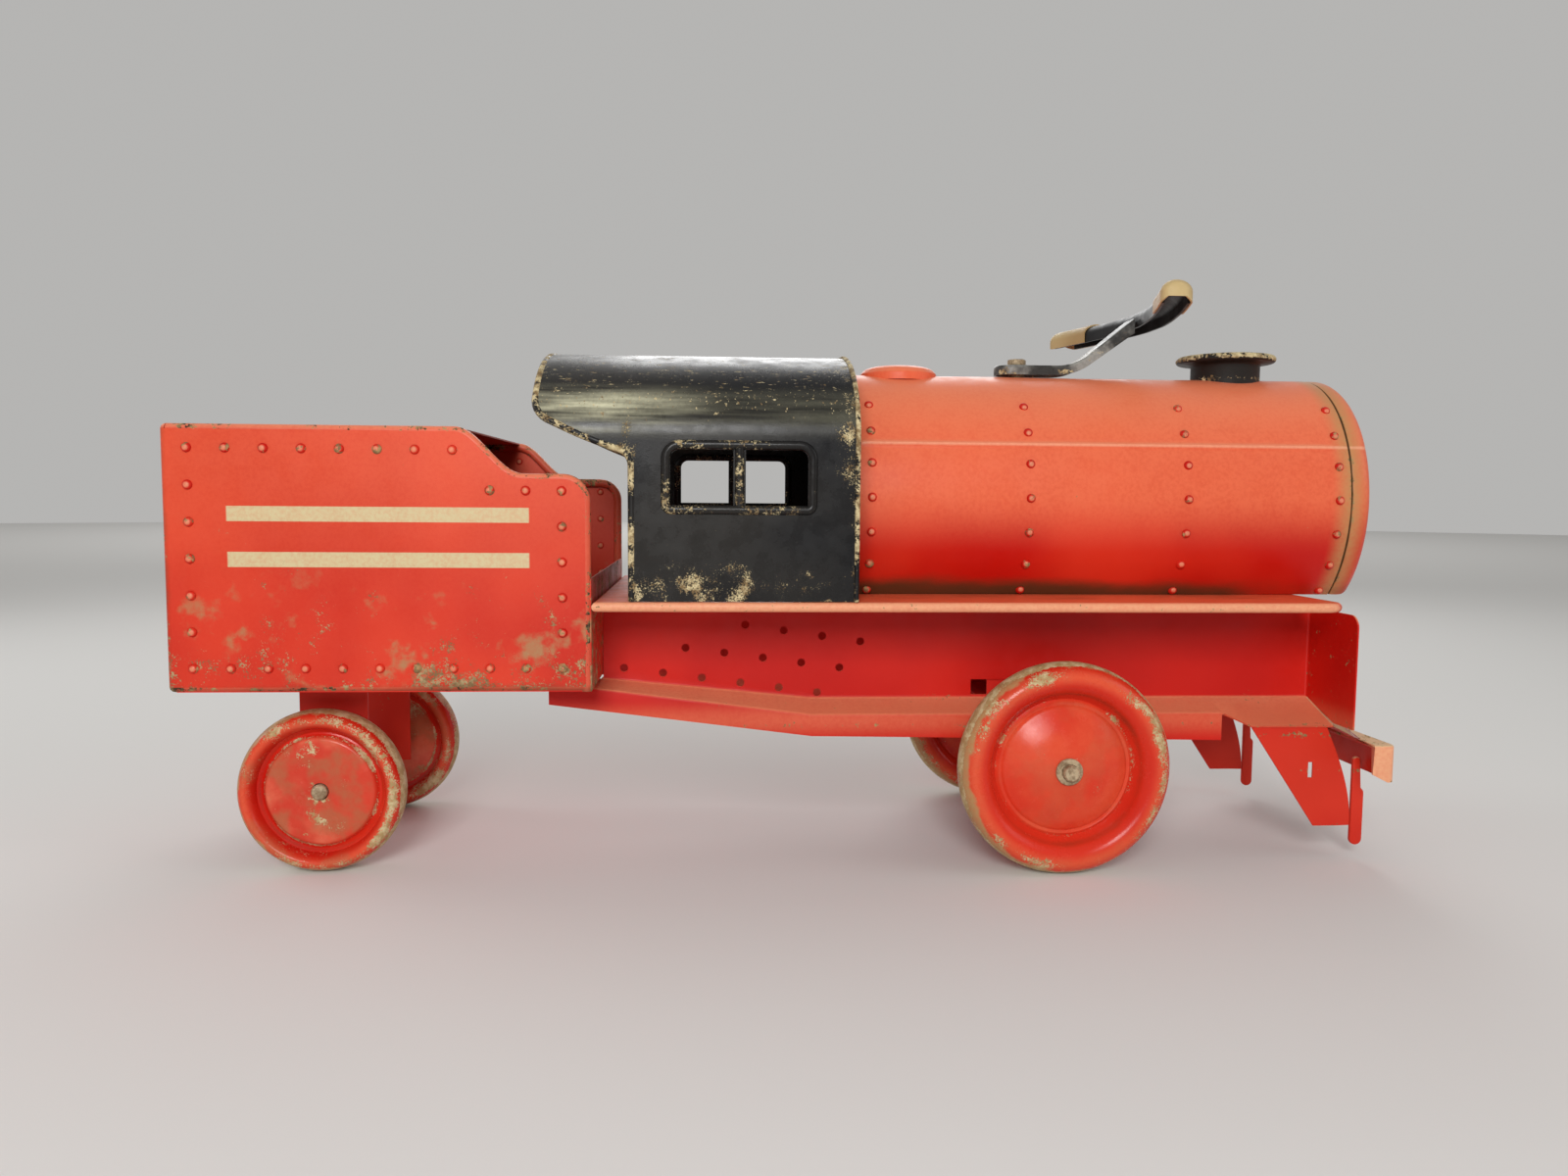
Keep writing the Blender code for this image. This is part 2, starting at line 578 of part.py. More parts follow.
def make_pilot(side, mat):
    """Side plate of the pilot: raked back below, its front edge rolled in towards the middle."""
    z_top = Z_SHELF - SHEET - GAP
    x_shelf = X_NOSE - PILOT_REAR + PILOT_LENGTH
    x_toe = X_NOSE - TOE_LENGTH - GAP
    steps, faces, rows = 6, [], []
    for k in range(steps + 1):
        s = k / steps
        z = z_top + (PILOT_BOTTOM - z_top) * s
        x_rear = X_NOSE - PILOT_REAR + (PILOT_REAR - PILOT_TOE) * s
        x_front = x_shelf + (x_toe - x_shelf) * math.sin(s * math.pi / 2)
        row = []
        for j in range(7):
            u = j / 6
            bend = PILOT_BEND * max(0.0, (u - 0.5) / 0.5) ** 2 * s
            row.append((x_rear + (x_front - x_rear) * u, -PILOT_HALF + bend, z))
        rows.append(row)
    for a, b in zip(rows, rows[1:]):
        faces += strip(a, b)
    if side > 0:
        faces = mirror_y(faces)
    name = "pilot_left" if side > 0 else "pilot_right"
    plate = sheet(faces, name, mat)
    x, z = X_NOSE - SLOT_BACK, (z_top + PILOT_BOTTOM) / 2 + SLOT_LIFT
    y = sorted((side * (PILOT_HALF + 4 * SHEET), side * (PILOT_HALF - 4 * SHEET)))
    cut(plate, f"{name}_slot", box((x - SLOT_WIDTH / 2, y[0], z - SLOT_HEIGHT / 2),
                                   (x + SLOT_WIDTH / 2, y[1], z + SLOT_HEIGHT / 2)))

    inner = PILOT_HALF - PILOT_BEND - (SHEET + TOE_WIDTH) / 2
    y = sorted((side * inner, side * (inner + TOE_WIDTH)))
    x0 = X_NOSE - TOE_LENGTH
    r, z0, z1 = TOE_LENGTH / 2, TOE_BOTTOM, Z_SHELF - BEAM_FALL - BEAM_DEPTH - TOE_DROP
    bar = arc(x0 + r, z0 + r, r, 180, 360, 6) + arc(x0 + r, z1 - r, r, 0, 180, 6)
    place(name.replace("pilot", "pilot_toe"), prism(bar, along_y, y[0], y[1]), mat)


def make_buffer_beam(mat):
    """Beam plate on a sloping neck; its front edge and ends turn down."""
    x1, r = X_NOSE, BEAM_CORNER
    x_neck, z_beam = x1 - BEAM_LENGTH, Z_SHELF - BEAM_FALL
    slope = math.atan2(BEAM_FALL, x_neck - X_FLANGE)
    x0 = X_FLANGE + GAP + SHEET * math.sin(slope)
    edge = ([(x_neck, -BEAM_HALF)] + arc(x1 - r, -BEAM_HALF + r, r, -90, 0, 4)
            + arc(x1 - r, BEAM_HALF - r, r, 0, 90, 4) + [(x_neck, BEAM_HALF)])
    top = [(x, y, z_beam) for x, y in edge]
    hem = [(x, y, z_beam - BEAM_DEPTH) for x, y in edge]
    neck = ((x0, PILOT_HALF, Z_SHELF), (x0, -PILOT_HALF, Z_SHELF), top[0], top[-1])
    sheet([tuple(top)] + strip(top, hem) + [neck], "buffer_beam", mat)


def make_rear_gear(mat, steel):
    z_top, x = Z_TENDER - GAP, X_REAR_AXLE
    z_axle, z_end = REAR_WHEEL_R, REAR_WHEEL_R - LEG_END
    path = [(-BRACKET_HALF, z_end), (-BRACKET_HALF, z_top), (BRACKET_HALF, z_top), (BRACKET_HALF, z_end)]
    outline = path + list(reversed(offset(path, -STRAP)))
    bracket = place("rear_bracket",
                    prism(outline, along_x, x - BRACKET_WIDTH / 2, x + BRACKET_WIDTH / 2), mat)
    cut(bracket, "rear_bracket_hole",
        rod(AXLE_R + GAP, -BRACKET_HALF - STRAP, BRACKET_HALF + STRAP, "Y", (x, 0, z_axle)))
    reach = REAR_WHEEL_Y + REAR_WHEEL_HALF * 0.75
    place("rear_axle", rod(AXLE_R, -reach, reach, "Y", (x, 0, z_axle)), steel)
    for side, name in ((-1, "right"), (1, "left")):
        hub_end = REAR_WHEEL_Y - REAR_WHEEL_HALF - HUB_PROUD
        spacer = collar(side, BRACKET_HALF + GAP, hub_end - GAP, HUB_R, (x, 0, z_axle))
        place(f"rear_spacer_{name}", spacer, steel)


def make_wheel(name, radius, half, face, parent, mat, steel, hub_out):
    """Two pressings that meet at the tread, on a sleeve; the outside faces the local -Y."""
    inside = HUB_R + GAP

    def closed(path, sign):
        inner = [(r, sign * max(sign * h, GAP / 2)) for r, h in offset(path, SHEET)]
        return path + list(reversed(inner))

    r0 = face[-1][0] + 0.04 * radius
    mid, bulge = (r0 + radius) / 2, (radius - r0) / 2

    def rim(sign):
        points = []
        for k in range(8):
            a = math.radians(165 - 165 * k / 7)
            points.append((mid + bulge * math.cos(a), sign * max(half * math.sin(a), GAP / 2)))
        return points

    outer = face + rim(1)
    place(f"{name}_outer", turned(closed(list(reversed(outer)), 1), "Y"), mat, parent)
    back = [(inside, -0.25 * half), (r0 - 1.0, -0.25 * half)] + rim(-1)
    place(f"{name}_inner", turned(closed(back, -1), "Y"), mat, parent)
    bore = AXLE_R + PLAY
    hub_in = -half - HUB_PROUD
    sleeve = [(bore, hub_in), (HUB_R, hub_in), (HUB_R, hub_out), (bore, hub_out)]
    place(f"{name}_hub", turned(sleeve, "Y", segments=24), steel, parent)


def make_rear_wheel(name, side, mat, steel):
    axle = pivot(f"{name}_axis", (X_REAR_AXLE, side * REAR_WHEEL_Y, REAR_WHEEL_R),
                 turn=math.pi if side > 0 else 0.0)
    half, r = REAR_WHEEL_HALF, REAR_WHEEL_R
    face = [(AXLE_R + PLAY, 0.5 * half), (0.63 * r, 0.5 * half), (0.67 * r, 0.42 * half),
            (0.7 * r, 0.25 * half)]
    make_wheel(name, r, half, face, axle, mat, steel, 0.5 * half - SHEET - GAP)


def make_front_wheel(name, side, steering, mat, steel):
    axle = pivot(f"{name}_axis", (AXLE_LEAD, side * FRONT_WHEEL_Y, FRONT_WHEEL_R), steering,
                 turn=math.pi if side > 0 else 0.0)
    half, r = FRONT_WHEEL_HALF, FRONT_WHEEL_R
    swell = [(HUB_R + GAP, 0.75 * half), (0.21 * r, 0.75 * half), (0.36 * r, 0.62 * half),
             (0.5 * r, 0.38 * half), (0.6 * r, 0.14 * half), (0.65 * r, 0.08 * half)]
    make_wheel(name, r, half, swell, axle, mat, steel, 0.85 * half)


def make_steering(steering, black, red, steel):
    """Post, yoke and front axle; X is measured from the post."""
    z_axle = FRONT_WHEEL_R
    path = [(-YOKE_HALF, z_axle - LEG_END), (-YOKE_HALF, Z_YOKE), (YOKE_HALF, Z_YOKE),
            (YOKE_HALF, z_axle - LEG_END)]
    outline = path + list(reversed(offset(path, -STRAP)))
    x0, x1 = (AXLE_LEAD - YOKE_WIDTH) / 2, (AXLE_LEAD + YOKE_WIDTH) / 2
    yoke = place("axle_yoke", prism(outline, along_x, x0, x1), red, steering)
    centre, wide = (AXLE_LEAD, 0, z_axle), YOKE_HALF + STRAP
    cut(yoke, "axle_yoke_hole", rod(AXLE_R + GAP, -wide, wide, "Y", centre))
    place("steering_post", rod(POST_R, Z_YOKE + GAP, Z_STEM - STEM_SHEET - GAP, "Z"), steel, steering)

    hub_face = FRONT_WHEEL_Y + 0.85 * FRONT_WHEEL_HALF
    reach = hub_face + GAP + WASHER
    place("front_axle", rod(AXLE_R, -reach, reach, "Y", centre), steel, steering)
    for side, name in ((-1, "right"), (1, "left")):
        hub_end = FRONT_WHEEL_Y - FRONT_WHEEL_HALF - HUB_PROUD
        spacer = collar(side, YOKE_HALF + GAP, hub_end - GAP, HUB_R, centre)
        place(f"front_spacer_{name}", spacer, steel, steering)
        washer = collar(side, hub_face + GAP, reach, WASHER_R, centre)
        place(f"front_washer_{name}", washer, steel, steering)
        ends = sorted((side * (reach + GAP), side * (reach + GAP + NUT_HEIGHT)))
        place(f"front_nut_{name}", box((AXLE_LEAD - NUT / 2, ends[0], z_axle - NUT / 2),
                                       (AXLE_LEAD + NUT / 2, ends[1], z_axle + NUT / 2)), steel, steering)
    make_handle(steering, black, steel)


def make_handle(steering, black, steel):
    """A pressed stem that climbs from the post to a cross bar with two grips; X is from the post."""
    climb = math.atan2(STEM_RISE, BAR_AHEAD - BAR_HALF - STEM_FLAT)
    x_end = BAR_AHEAD - BAR_HALF - 2 * GAP - STEM_SHEET * math.sin(climb)
    half, r = STEM_HALF, STEM_HALF
    slope = [(STEM_FLAT + (x_end - STEM_FLAT) * k / 4, k / 4) for k in range(5)]
    right = [(x, -half, Z_STEM + STEM_RISE * s) for x, s in slope]
    left = [(x, -y, z) for x, y, z in right]
    tail = [(x, y, Z_STEM) for x, y in arc(-STEM_REAR + r, 0, r, 90, 270, 10)]
    rim = list(reversed(right)) + list(reversed(tail)) + left
    depth = [STEM_SKIRT + STEM_DEEPEN * (z - Z_STEM) / STEM_RISE for x, y, z in rim]
    hem = [(x, y, z - d) for (x, y, z), d in zip(rim, depth)]
    top = (right[0], left[0]) + tuple(tail)
    sheet([top] + strip(left, right) + strip(hem, rim), "handle_strap", black, STEM_SHEET, steering)
    bolt = [(BOLT_R * math.cos(math.tau * k / 6), BOLT_R * math.sin(math.tau * k / 6)) for k in range(6)]
    place("handle_bolt", prism(bolt, along_z, Z_STEM + GAP, Z_STEM + GAP + BOLT_HEIGHT), steel, steering)

    def bar_row(y, grow):
        """The arch of the bar's section at y, rear leg first."""
        lean = max(0.0, (abs(y) - STEM_HALF - GAP) / (BAR_SPAN - STEM_HALF - GAP))
        x = BAR_AHEAD - BAR_SWEEP * lean ** 1.4
        crown = [(x - (BAR_HALF + grow) * math.cos(a), y, Z_BAR + (BAR_CROWN + grow) * math.sin(a))
                 for a in (math.pi * k / 10 for k in range(11))]
        foot = Z_BAR - BAR_LEG
        return [(crown[0][0], y, foot)] + crown + [(crown[-1][0], y, foot)]

    def swept(stations, grow):
        rows = [bar_row(y, grow) for y in stations]
        return [face for a, b in zip(rows, rows[1:]) for face in strip(b, a)]

    inner = STEM_HALF + GAP
    side = [inner + (BAR_SPAN - inner) * k / 8 for k in range(9)]
    sheet(swept([-y for y in reversed(side)] + side, 0.0), "handle_bar", black, STEM_SHEET, steering)
    grip = [BAR_SPAN - GRIP_LENGTH * (1 - k / 5) for k in range(6)]
    for name, stations in (("right", [-y for y in reversed(grip)]), ("left", grip)):
        sheet(swept(stations, GAP + SHEET), f"handle_grip_{name}", black, SHEET, steering)


def main():
    clear_scene()
    red = paint("red_paint", (0.50, 0.035, 0.025), 0.45, 0.0)
    black = paint("black_paint", (0.012, 0.012, 0.012), 0.35, 0.0)
    steel = paint("bare_steel", (0.42, 0.34, 0.26), 0.5, 0.9)

    make_deck(red)
    make_cross_member(red)
    make_boiler(red, red)
    make_dome(red)
    make_stack(black)
    make_cab(black)
    make_tender(red)
    make_buffer_beam(red)
    make_rear_gear(red, steel)
    steering = pivot("steering_axis", (X_POST, 0, 0))
    make_steering(steering, black, red, steel)
    for side, name in ((-1, "right"), (1, "left")):
        make_side_frame(side, red)
        make_pilot(side, red)
        make_rear_wheel(f"rear_wheel_{name}", side, red, steel)
        make_front_wheel(f"front_wheel_{name}", side, steering, red, steel)


main()
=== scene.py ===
# %% [markdown]
# A ride-on toy locomotive of pressed sheet steel, red and black, with most of a century of wear. The
# packed model gives every size and place, and this lesson dresses it: bent sheet with soft bends,
# rolled hems, embossed rivets, turned wheels, and paint that has chipped down to rusty steel. Each
# piece could be modelled by eye. Here it is measured from the packed piece that it stands for, so that
# it fits. Sizes are millimetres, and the objects are made in metres, as the frame is.

# %% Load the frame
import json
import math

import bmesh
import bpy
from mathutils import Matrix, Vector, noise


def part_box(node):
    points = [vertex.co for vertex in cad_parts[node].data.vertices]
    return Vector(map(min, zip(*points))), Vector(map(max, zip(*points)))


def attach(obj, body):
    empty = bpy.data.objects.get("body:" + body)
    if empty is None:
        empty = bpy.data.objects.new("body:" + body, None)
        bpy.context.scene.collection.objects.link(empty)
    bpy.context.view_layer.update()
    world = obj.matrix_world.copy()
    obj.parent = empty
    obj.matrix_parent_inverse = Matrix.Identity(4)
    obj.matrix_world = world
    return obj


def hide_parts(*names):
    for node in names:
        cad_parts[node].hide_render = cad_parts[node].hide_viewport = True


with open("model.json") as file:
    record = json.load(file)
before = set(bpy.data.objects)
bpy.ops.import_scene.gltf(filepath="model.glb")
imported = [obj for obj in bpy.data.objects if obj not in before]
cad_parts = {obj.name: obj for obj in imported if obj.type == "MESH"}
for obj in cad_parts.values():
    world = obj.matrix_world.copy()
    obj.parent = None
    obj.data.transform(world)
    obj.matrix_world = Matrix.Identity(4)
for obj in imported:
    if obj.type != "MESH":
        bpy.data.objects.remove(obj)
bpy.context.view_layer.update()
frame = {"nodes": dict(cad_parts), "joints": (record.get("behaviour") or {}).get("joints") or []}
MM = 0.001


def span(node):
    """Lowest and highest corner of a packed piece."""
    low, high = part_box(node)
    return low / MM, high / MM


print("pieces in the frame:", len(frame["nodes"]))

# %% [markdown]
# The camera stands where the photographer stood: close to the middle of the near side, a little above
# the cab floor, with a wide lens. A Track To constraint could aim it, but that leaves out the small
# roll. So the place and three angles are named, and the camera's matrix is worked out from them.

# %% Camera
CAMERA_AT = Vector((-54.32, -772.52, 231.74)) * MM
CAMERA_YAW, CAMERA_PITCH, CAMERA_ROLL = (math.radians(a) for a in (3.55, 4.64, 0.44))
CAMERA_LENS, SENSOR_WIDTH, CLIP_START = 26.03, 36.0, 0.01


def add_object(name, data):
    """A new object, linked to the scene."""
    obj = bpy.data.objects.new(name, data)
    bpy.context.collection.objects.link(obj)
    return obj


ahead = Vector((math.sin(CAMERA_YAW), math.cos(CAMERA_YAW), 0))
across = Vector((math.cos(CAMERA_YAW), -math.sin(CAMERA_YAW), 0))
upward = Vector((0, 0, 1))
look = ahead * math.cos(CAMERA_PITCH) - upward * math.sin(CAMERA_PITCH)
level_up = ahead * math.sin(CAMERA_PITCH) + upward * math.cos(CAMERA_PITCH)
camera_right = across * math.cos(CAMERA_ROLL) + level_up * math.sin(CAMERA_ROLL)
camera_up = level_up * math.cos(CAMERA_ROLL) - across * math.sin(CAMERA_ROLL)
camera = add_object("camera", bpy.data.cameras.new("camera"))
camera.data.lens = CAMERA_LENS
camera.data.sensor_width = SENSOR_WIDTH
camera.data.clip_start = CLIP_START
camera.matrix_world = Matrix((camera_right, camera_up, -look)).transposed().to_4x4()
camera.matrix_world.translation = CAMERA_AT
bpy.context.scene.camera = camera
print("camera at", [round(v, 3) for v in CAMERA_AT])

# %% [markdown]
# Soft studio light: one panel on the camera's side, weaker ones at the ends and behind, and a wash for
# the far floor. Point lamps would throw hard shadows. A panel is an area light that is turned to face
# its aim, and the bigger it is, the softer its shadow.

# %% Lamps
bpy.context.scene.view_settings.view_transform = "Standard"


def panel(name, place, size, power, aim=(0, 0, 0.16)):
    """A square area light, in metres, that faces the middle of the locomotive or another aim."""
    lamp = bpy.data.lights.new(name, "AREA")
    lamp.size = size
    lamp.energy = power
    obj = add_object(name, lamp)
    obj.location = place
    obj.rotation_euler = (Vector(aim) - Vector(place)).to_track_quat("-Z", "Y").to_euler()
    print("lamp", name, power, "W")


panel("key", (-0.25, -1.75, 0.85), 0.6, 21)
panel("fill_front", (1.7, -0.7, 0.9), 1.0, 4)
panel("fill_rear", (-1.7, 0.5, 1.0), 1.0, 5)
panel("fill_back", (0.3, 1.8, 1.2), 1.2, 10)
panel("floor_wash", (0, 6.5, 3.0), 6.0, 90, (0, 6.6, 0))

# %% [markdown]
# A pale world fills the shade. What the camera sees of it, straight or in a reflection, is a little
# brighter than what it gives as light. A picture of a studio could do the same, but one colour and a
# Light Path node are easier to tune. The floor is plain and pale, so that the reds and blacks read as
# written.

# %% Sky and floor
SKY, BACKDROP = 0.38, 0.50
FLOOR_RADIUS = 9.0

world = bpy.data.worlds.new("studio")
world.use_nodes = True
bpy.context.scene.world = world
nodes, links = world.node_tree.nodes, world.node_tree.links
sky = nodes["Background"]
sky.inputs["Color"].default_value = (0.93, 0.92, 0.90, 1)
backdrop = nodes.new("ShaderNodeMapRange")
backdrop.inputs["To Min"].default_value = SKY
backdrop.inputs["To Max"].default_value = BACKDROP
paths = nodes.new("ShaderNodeLightPath")
seen = paths.outputs["Is Camera Ray"]
for kind in ("Is Glossy Ray", "Is Transmission Ray"):
    either = nodes.new("ShaderNodeMath")
    either.operation = "MAXIMUM"
    links.new(seen, either.inputs[0])
    links.new(paths.outputs[kind], either.inputs[1])
    seen = either.outputs[0]
links.new(seen, backdrop.inputs["Value"])
links.new(backdrop.outputs["Result"], sky.inputs["Strength"])


def mesh_of(name, bm, scale=1.0):
    """Turn a bmesh into a mesh of the given scale, and free it."""
    bmesh.ops.scale(bm, vec=(scale, scale, scale), verts=bm.verts)
    mesh = bpy.data.meshes.new(name)
    bm.to_mesh(mesh)
    bm.free()
    return mesh


floor_mat = bpy.data.materials.new("studio_floor")
floor_mat.use_nodes = True
pale = floor_mat.node_tree.nodes["Principled BSDF"]
pale.inputs["Base Color"].default_value = (0.76, 0.75, 0.73, 1)
pale.inputs["Roughness"].default_value = 0.9
disc = bmesh.new()
bmesh.ops.create_circle(disc, cap_ends=True, segments=64, radius=FLOOR_RADIUS)
floor = add_object("floor", mesh_of("floor", disc))
floor.data.materials.append(floor_mat)
print("floor", 2 * FLOOR_RADIUS, "m across")

# %% [markdown]
# Paint is the heart of this object, and it is all node work. Nodes can be laid out by hand in the
# shader editor. A script needs short names for them, so this class holds one material, and each method
# adds a node and gives back its output: a recipe then reads like a sum. Object coordinates keep every
# pattern in place on its piece.

# %% A small kit for finishes
class NodeKit:
    """A material and the nodes that its recipe is made of."""

    def __init__(self, name):
        self.mat = bpy.data.materials.new(name)
        self.mat.use_nodes = True
        self.tree = self.mat.node_tree
        self.shader = self.tree.nodes["Principled BSDF"]
        place = self.node("ShaderNodeTexCoord")
        self.at = place.outputs["Object"]
        scaled = self.node("ShaderNodeVectorMath", {0: self.at, "Scale": 1 / MM}, operation="SCALE")
        self.x, self.y, self.z = self.node("ShaderNodeSeparateXYZ", {0: scaled.outputs[0]}).outputs
        self.facing = self.node("ShaderNodeSeparateXYZ", {0: place.outputs["Normal"]}).outputs
        print("finish", name)

    def node(self, kind, inputs=None, **settings):
        made = self.tree.nodes.new(kind)
        for key, value in settings.items():
            setattr(made, key, value)
        for key, value in (inputs or {}).items():
            self.feed(made.inputs[key], value)
        return made

    def feed(self, socket, value):
        if isinstance(value, bpy.types.NodeSocket):
            self.tree.links.new(value, socket)
        elif isinstance(value, tuple) and socket.type == "RGBA":
            socket.default_value = (*value, 1.0)
        else:
            socket.default_value = value

    def paint(self, **sockets):
        """Feed the shader, with names such as Base_Color."""
        for name, value in sockets.items():
            self.feed(self.shader.inputs[name.replace("_", " ")], value)

    def math(self, operation, a, b=0.0):
        return self.node("ShaderNodeMath", {0: a, 1: b}, operation=operation).outputs[0]

    def noise(self, scale, detail=3.0, rough=0.55, stretch=(1, 1, 1), shift=0.0):
        where = self.node("ShaderNodeMapping", {"Vector": self.at, "Scale": stretch,
                                                "Location": (shift, shift * 1.7, shift * 0.6)})
        made = self.node("ShaderNodeTexNoise", {"Vector": where.outputs[0], "Scale": scale,
                                                "Detail": detail, "Roughness": rough})
        return made.outputs["Fac"]

    def ramp(self, value, low, high, start=0.0, end=1.0):
        made = self.node("ShaderNodeMapRange", {"Value": value, "From Min": low, "From Max": high,
                                                "To Min": start, "To Max": end})
        made.interpolation_type = "SMOOTHSTEP"
        return made.outputs["Result"]

    def mix(self, share, a, b):
        made = self.node("ShaderNodeMix", {0: share}, data_type="RGBA")
        for socket, value in zip(made.inputs[6:8], (a, b)):
            self.feed(socket, value)
        return made.outputs[2]

    def bump(self, height, strength, distance):
        made = self.node("ShaderNodeBump", {"Height": height, "Strength": strength, "Distance": distance})
        return made.outputs["Normal"]


print("node shortcuts:", [name for name in vars(NodeKit) if not name.startswith("_")])

# %% [markdown]
# Wear on the real toy follows its shape: edges, rims, seams and the side near the ground. It could be
# painted on each mesh by hand. A field does it by rule: a node output from 0 to 1 that says how near a
# point is to such a place, measured in millimetres, with no need of a UV map.

# %% Fields of wear
class Finish(NodeKit):
    """A material with the fields that place its wear."""

    def gap(self, value, mark):
        """How far a value is from a mark, either way."""
        return self.math("ABSOLUTE", self.math("SUBTRACT", value, mark))

    def near(self, value, mark, reach, strength=1.0):
        """Strength at the mark, falling to 0 at reach."""
        return self.ramp(self.gap(value, mark), 0.0, reach, strength, 0.0)

    def out(self, low, high, end=1.0):
        """Grows from 0 to end with the distance from the middle plane."""
        return self.ramp(self.math("ABSOLUTE", self.y), low, high, 0.0, end)

    def hypot(self, u, v):
        return self.math("SQRT", self.math("ADD", self.both(u, u), self.both(v, v)))

    def from_axle(self, x, z):
        """Distance from a line along Y."""
        return self.hypot(self.math("SUBTRACT", self.x, x), self.math("SUBTRACT", self.z, z))

    def from_post(self, x):
        """Distance from an upright line on the middle plane."""
        return self.hypot(self.math("SUBTRACT", self.x, x), self.y)

    def chain(self, operation, fields):
        total = fields[0]
        for field in fields[1:]:
            total = self.math(operation, total, field)
        return total

    def most(self, *fields):
        return self.chain("MAXIMUM", fields)

    def both(self, *fields):
        return self.chain("MULTIPLY", fields)

    def add(self, a, b, share):
        """a plus a share of b."""
        return self.math("ADD", a, self.math("MULTIPLY", b, share))

    def blend(self, a, b, share):
        """a giving way to b by a share."""
        return self.add(self.math("MULTIPLY", a, 1 - share), b, share)


print("fields:", [name for name in vars(Finish) if not name.startswith("_")])

# %% [markdown]
# The enamel has two reds (or blacks) that drift into each other, faded films and films of painted highlight,
# chips down to bare metal, and a dark layer of dirt and painted shade. Layers of pictures could hold all
# that, but noise and fields stay sharp from close by. One function gives every paint, because each piece
# hands it its own fields. Chips also dull the gloss and sink a little below the paint.

# %% Worn paint
TAN = (0.42, 0.28, 0.12)
KHAKI = (0.21, 0.135, 0.06)
CREAM = (0.62, 0.51, 0.29)
SOOT = (0.028, 0.019, 0.013)
DIRT_AND_SHADE = (0.085, 0.046, 0.018)
RED_DEEP, RED_FADED = (0.53, 0.008, 0.004), (0.78, 0.135, 0.055)
RED = (RED_DEEP, (0.66, 0.032, 0.013))
BLACK = ((0.005, 0.005, 0.006), (0.018, 0.016, 0.014))
SPECULAR = 0.22


def worn_paint(name, colours, wear=None, gain=0.3, limit=0.66, films=(), patch=None, grime_and_shade=None,
               streaks=(), gloss=0.38, grain=1.0, bare=(KHAKI, TAN)):
    """Enamel that has chipped to bare metal.

    films are (field, colour) pairs of faded, dusty and painted colour and of painted highlight and sheen,
    patch strips it in crowds of fine specks, wear chips the edges, streaks are (stretch, scale, limit, field)
    scratches, and grime_and_shade darkens it all, with dirt and with painted shade. Every field is a function
    of the finish that gives 0 to 1.
    """
    f = Finish(name)
    slow, mid = f.noise(9, 2), f.noise(70 * grain, 5, 0.65, shift=3.1)
    fine = f.noise(420 * grain, 4, 0.65, shift=7.3)
    colour = f.mix(f.ramp(slow, 0.36, 0.64), *colours)
    cloudy = f.ramp(f.blend(mid, fine, 0.7), 0.35, 0.6, 0.78, 1.0)
    for field, tint in films:
        colour = f.mix(f.both(field(f), cloudy), colour, tint)
    metal = f.mix(f.ramp(f.noise(190, 4, 0.65, shift=5.0), 0.38, 0.62), *bare)
    level = f.blend(mid, fine, 0.5)
    if wear:
        level = f.add(level, wear(f), gain)
    chip = f.ramp(level, limit, limit + 0.04)
    if patch:
        cloud = f.blend(f.noise(24, 5, 0.6, shift=1.3), mid, 0.5)
        crowd = f.ramp(f.add(cloud, patch(f), 0.2), 0.52, 0.84)
        specks = f.add(f.noise(1000, 4, 0.7, shift=4.4), crowd, 0.42)
        chip = f.most(chip, f.ramp(specks, 0.76, 0.84))
    for stretch, scale, bound, field in streaks:
        marks = f.add(f.noise(scale, 3, 0.6, stretch, shift=2.2), field(f), 0.2)
        chip = f.most(chip, f.ramp(marks, bound, bound + 0.05))
    colour = f.mix(chip, colour, metal)
    if grime_and_shade:
        cloud = f.math("SUBTRACT", f.noise(26, 4, 0.6, (0.5, 1, 1)), 0.5)
        colour = f.mix(f.ramp(f.add(grime_and_shade(f), cloud, 1.1), 0.2, 0.95, 0.0, 0.92), colour, DIRT_AND_SHADE)
    rough = f.add(f.ramp(mid, 0.3, 0.7, gloss - 0.06, gloss + 0.1), chip, 0.4)
    height = f.math("SUBTRACT", f.math("MULTIPLY", f.noise(1500, 2), 0.12), f.math("MULTIPLY", chip, 0.5))
    height = f.add(height, f.noise(22, 1), 1.6)
    f.paint(Base_Color=colour, Roughness=rough, Specular_IOR_Level=SPECULAR,
            Normal=f.bump(height, 0.5, 0.0008))
    return f.mat


print("bare metal goes from", KHAKI, "to", TAN)

# %% [markdown]
# The axles, the nuts, the bolt and the post are bare: a dull steel under brown and tan rust. Two
# shaders, rust and metal, could be mixed. It is simpler to let the same noise change the colour and
# the metalness of one shader, so that metal shows where the rust is thin.

# %% Rusted steel
def rusted_steel(name, dark=(0.24, 0.16, 0.085), light=(0.58, 0.46, 0.30)):
    f = Finish(name)
    mid, fine = f.noise(120, 4, 0.65), f.noise(600, 3, 0.6, shift=2.0)
    f.paint(Base_Color=f.mix(f.ramp(f.blend(mid, fine, 0.4), 0.4, 0.6), dark, light),
            Roughness=f.ramp(fine, 0.3, 0.7, 0.45, 0.8), Metallic=f.ramp(mid, 0.45, 0.62, 0.2, 0.75),
            Normal=f.bump(fine, 0.4, 0.0004))
    return f.mat


steel = rusted_steel("rusted_steel")

# %% [markdown]
# Every piece ends the same way: a bmesh in millimetres becomes an object in metres, its modifiers are
# applied to a plain mesh, and it gets a body to ride on. Operators could apply the modifiers, but they
# depend on what is selected, and new_from_object does not. Holes are cut last, by solids that are
# removed again. A CAD node whose shape is already right only needs a better material.

# %% Finished pieces
SHARP = 35


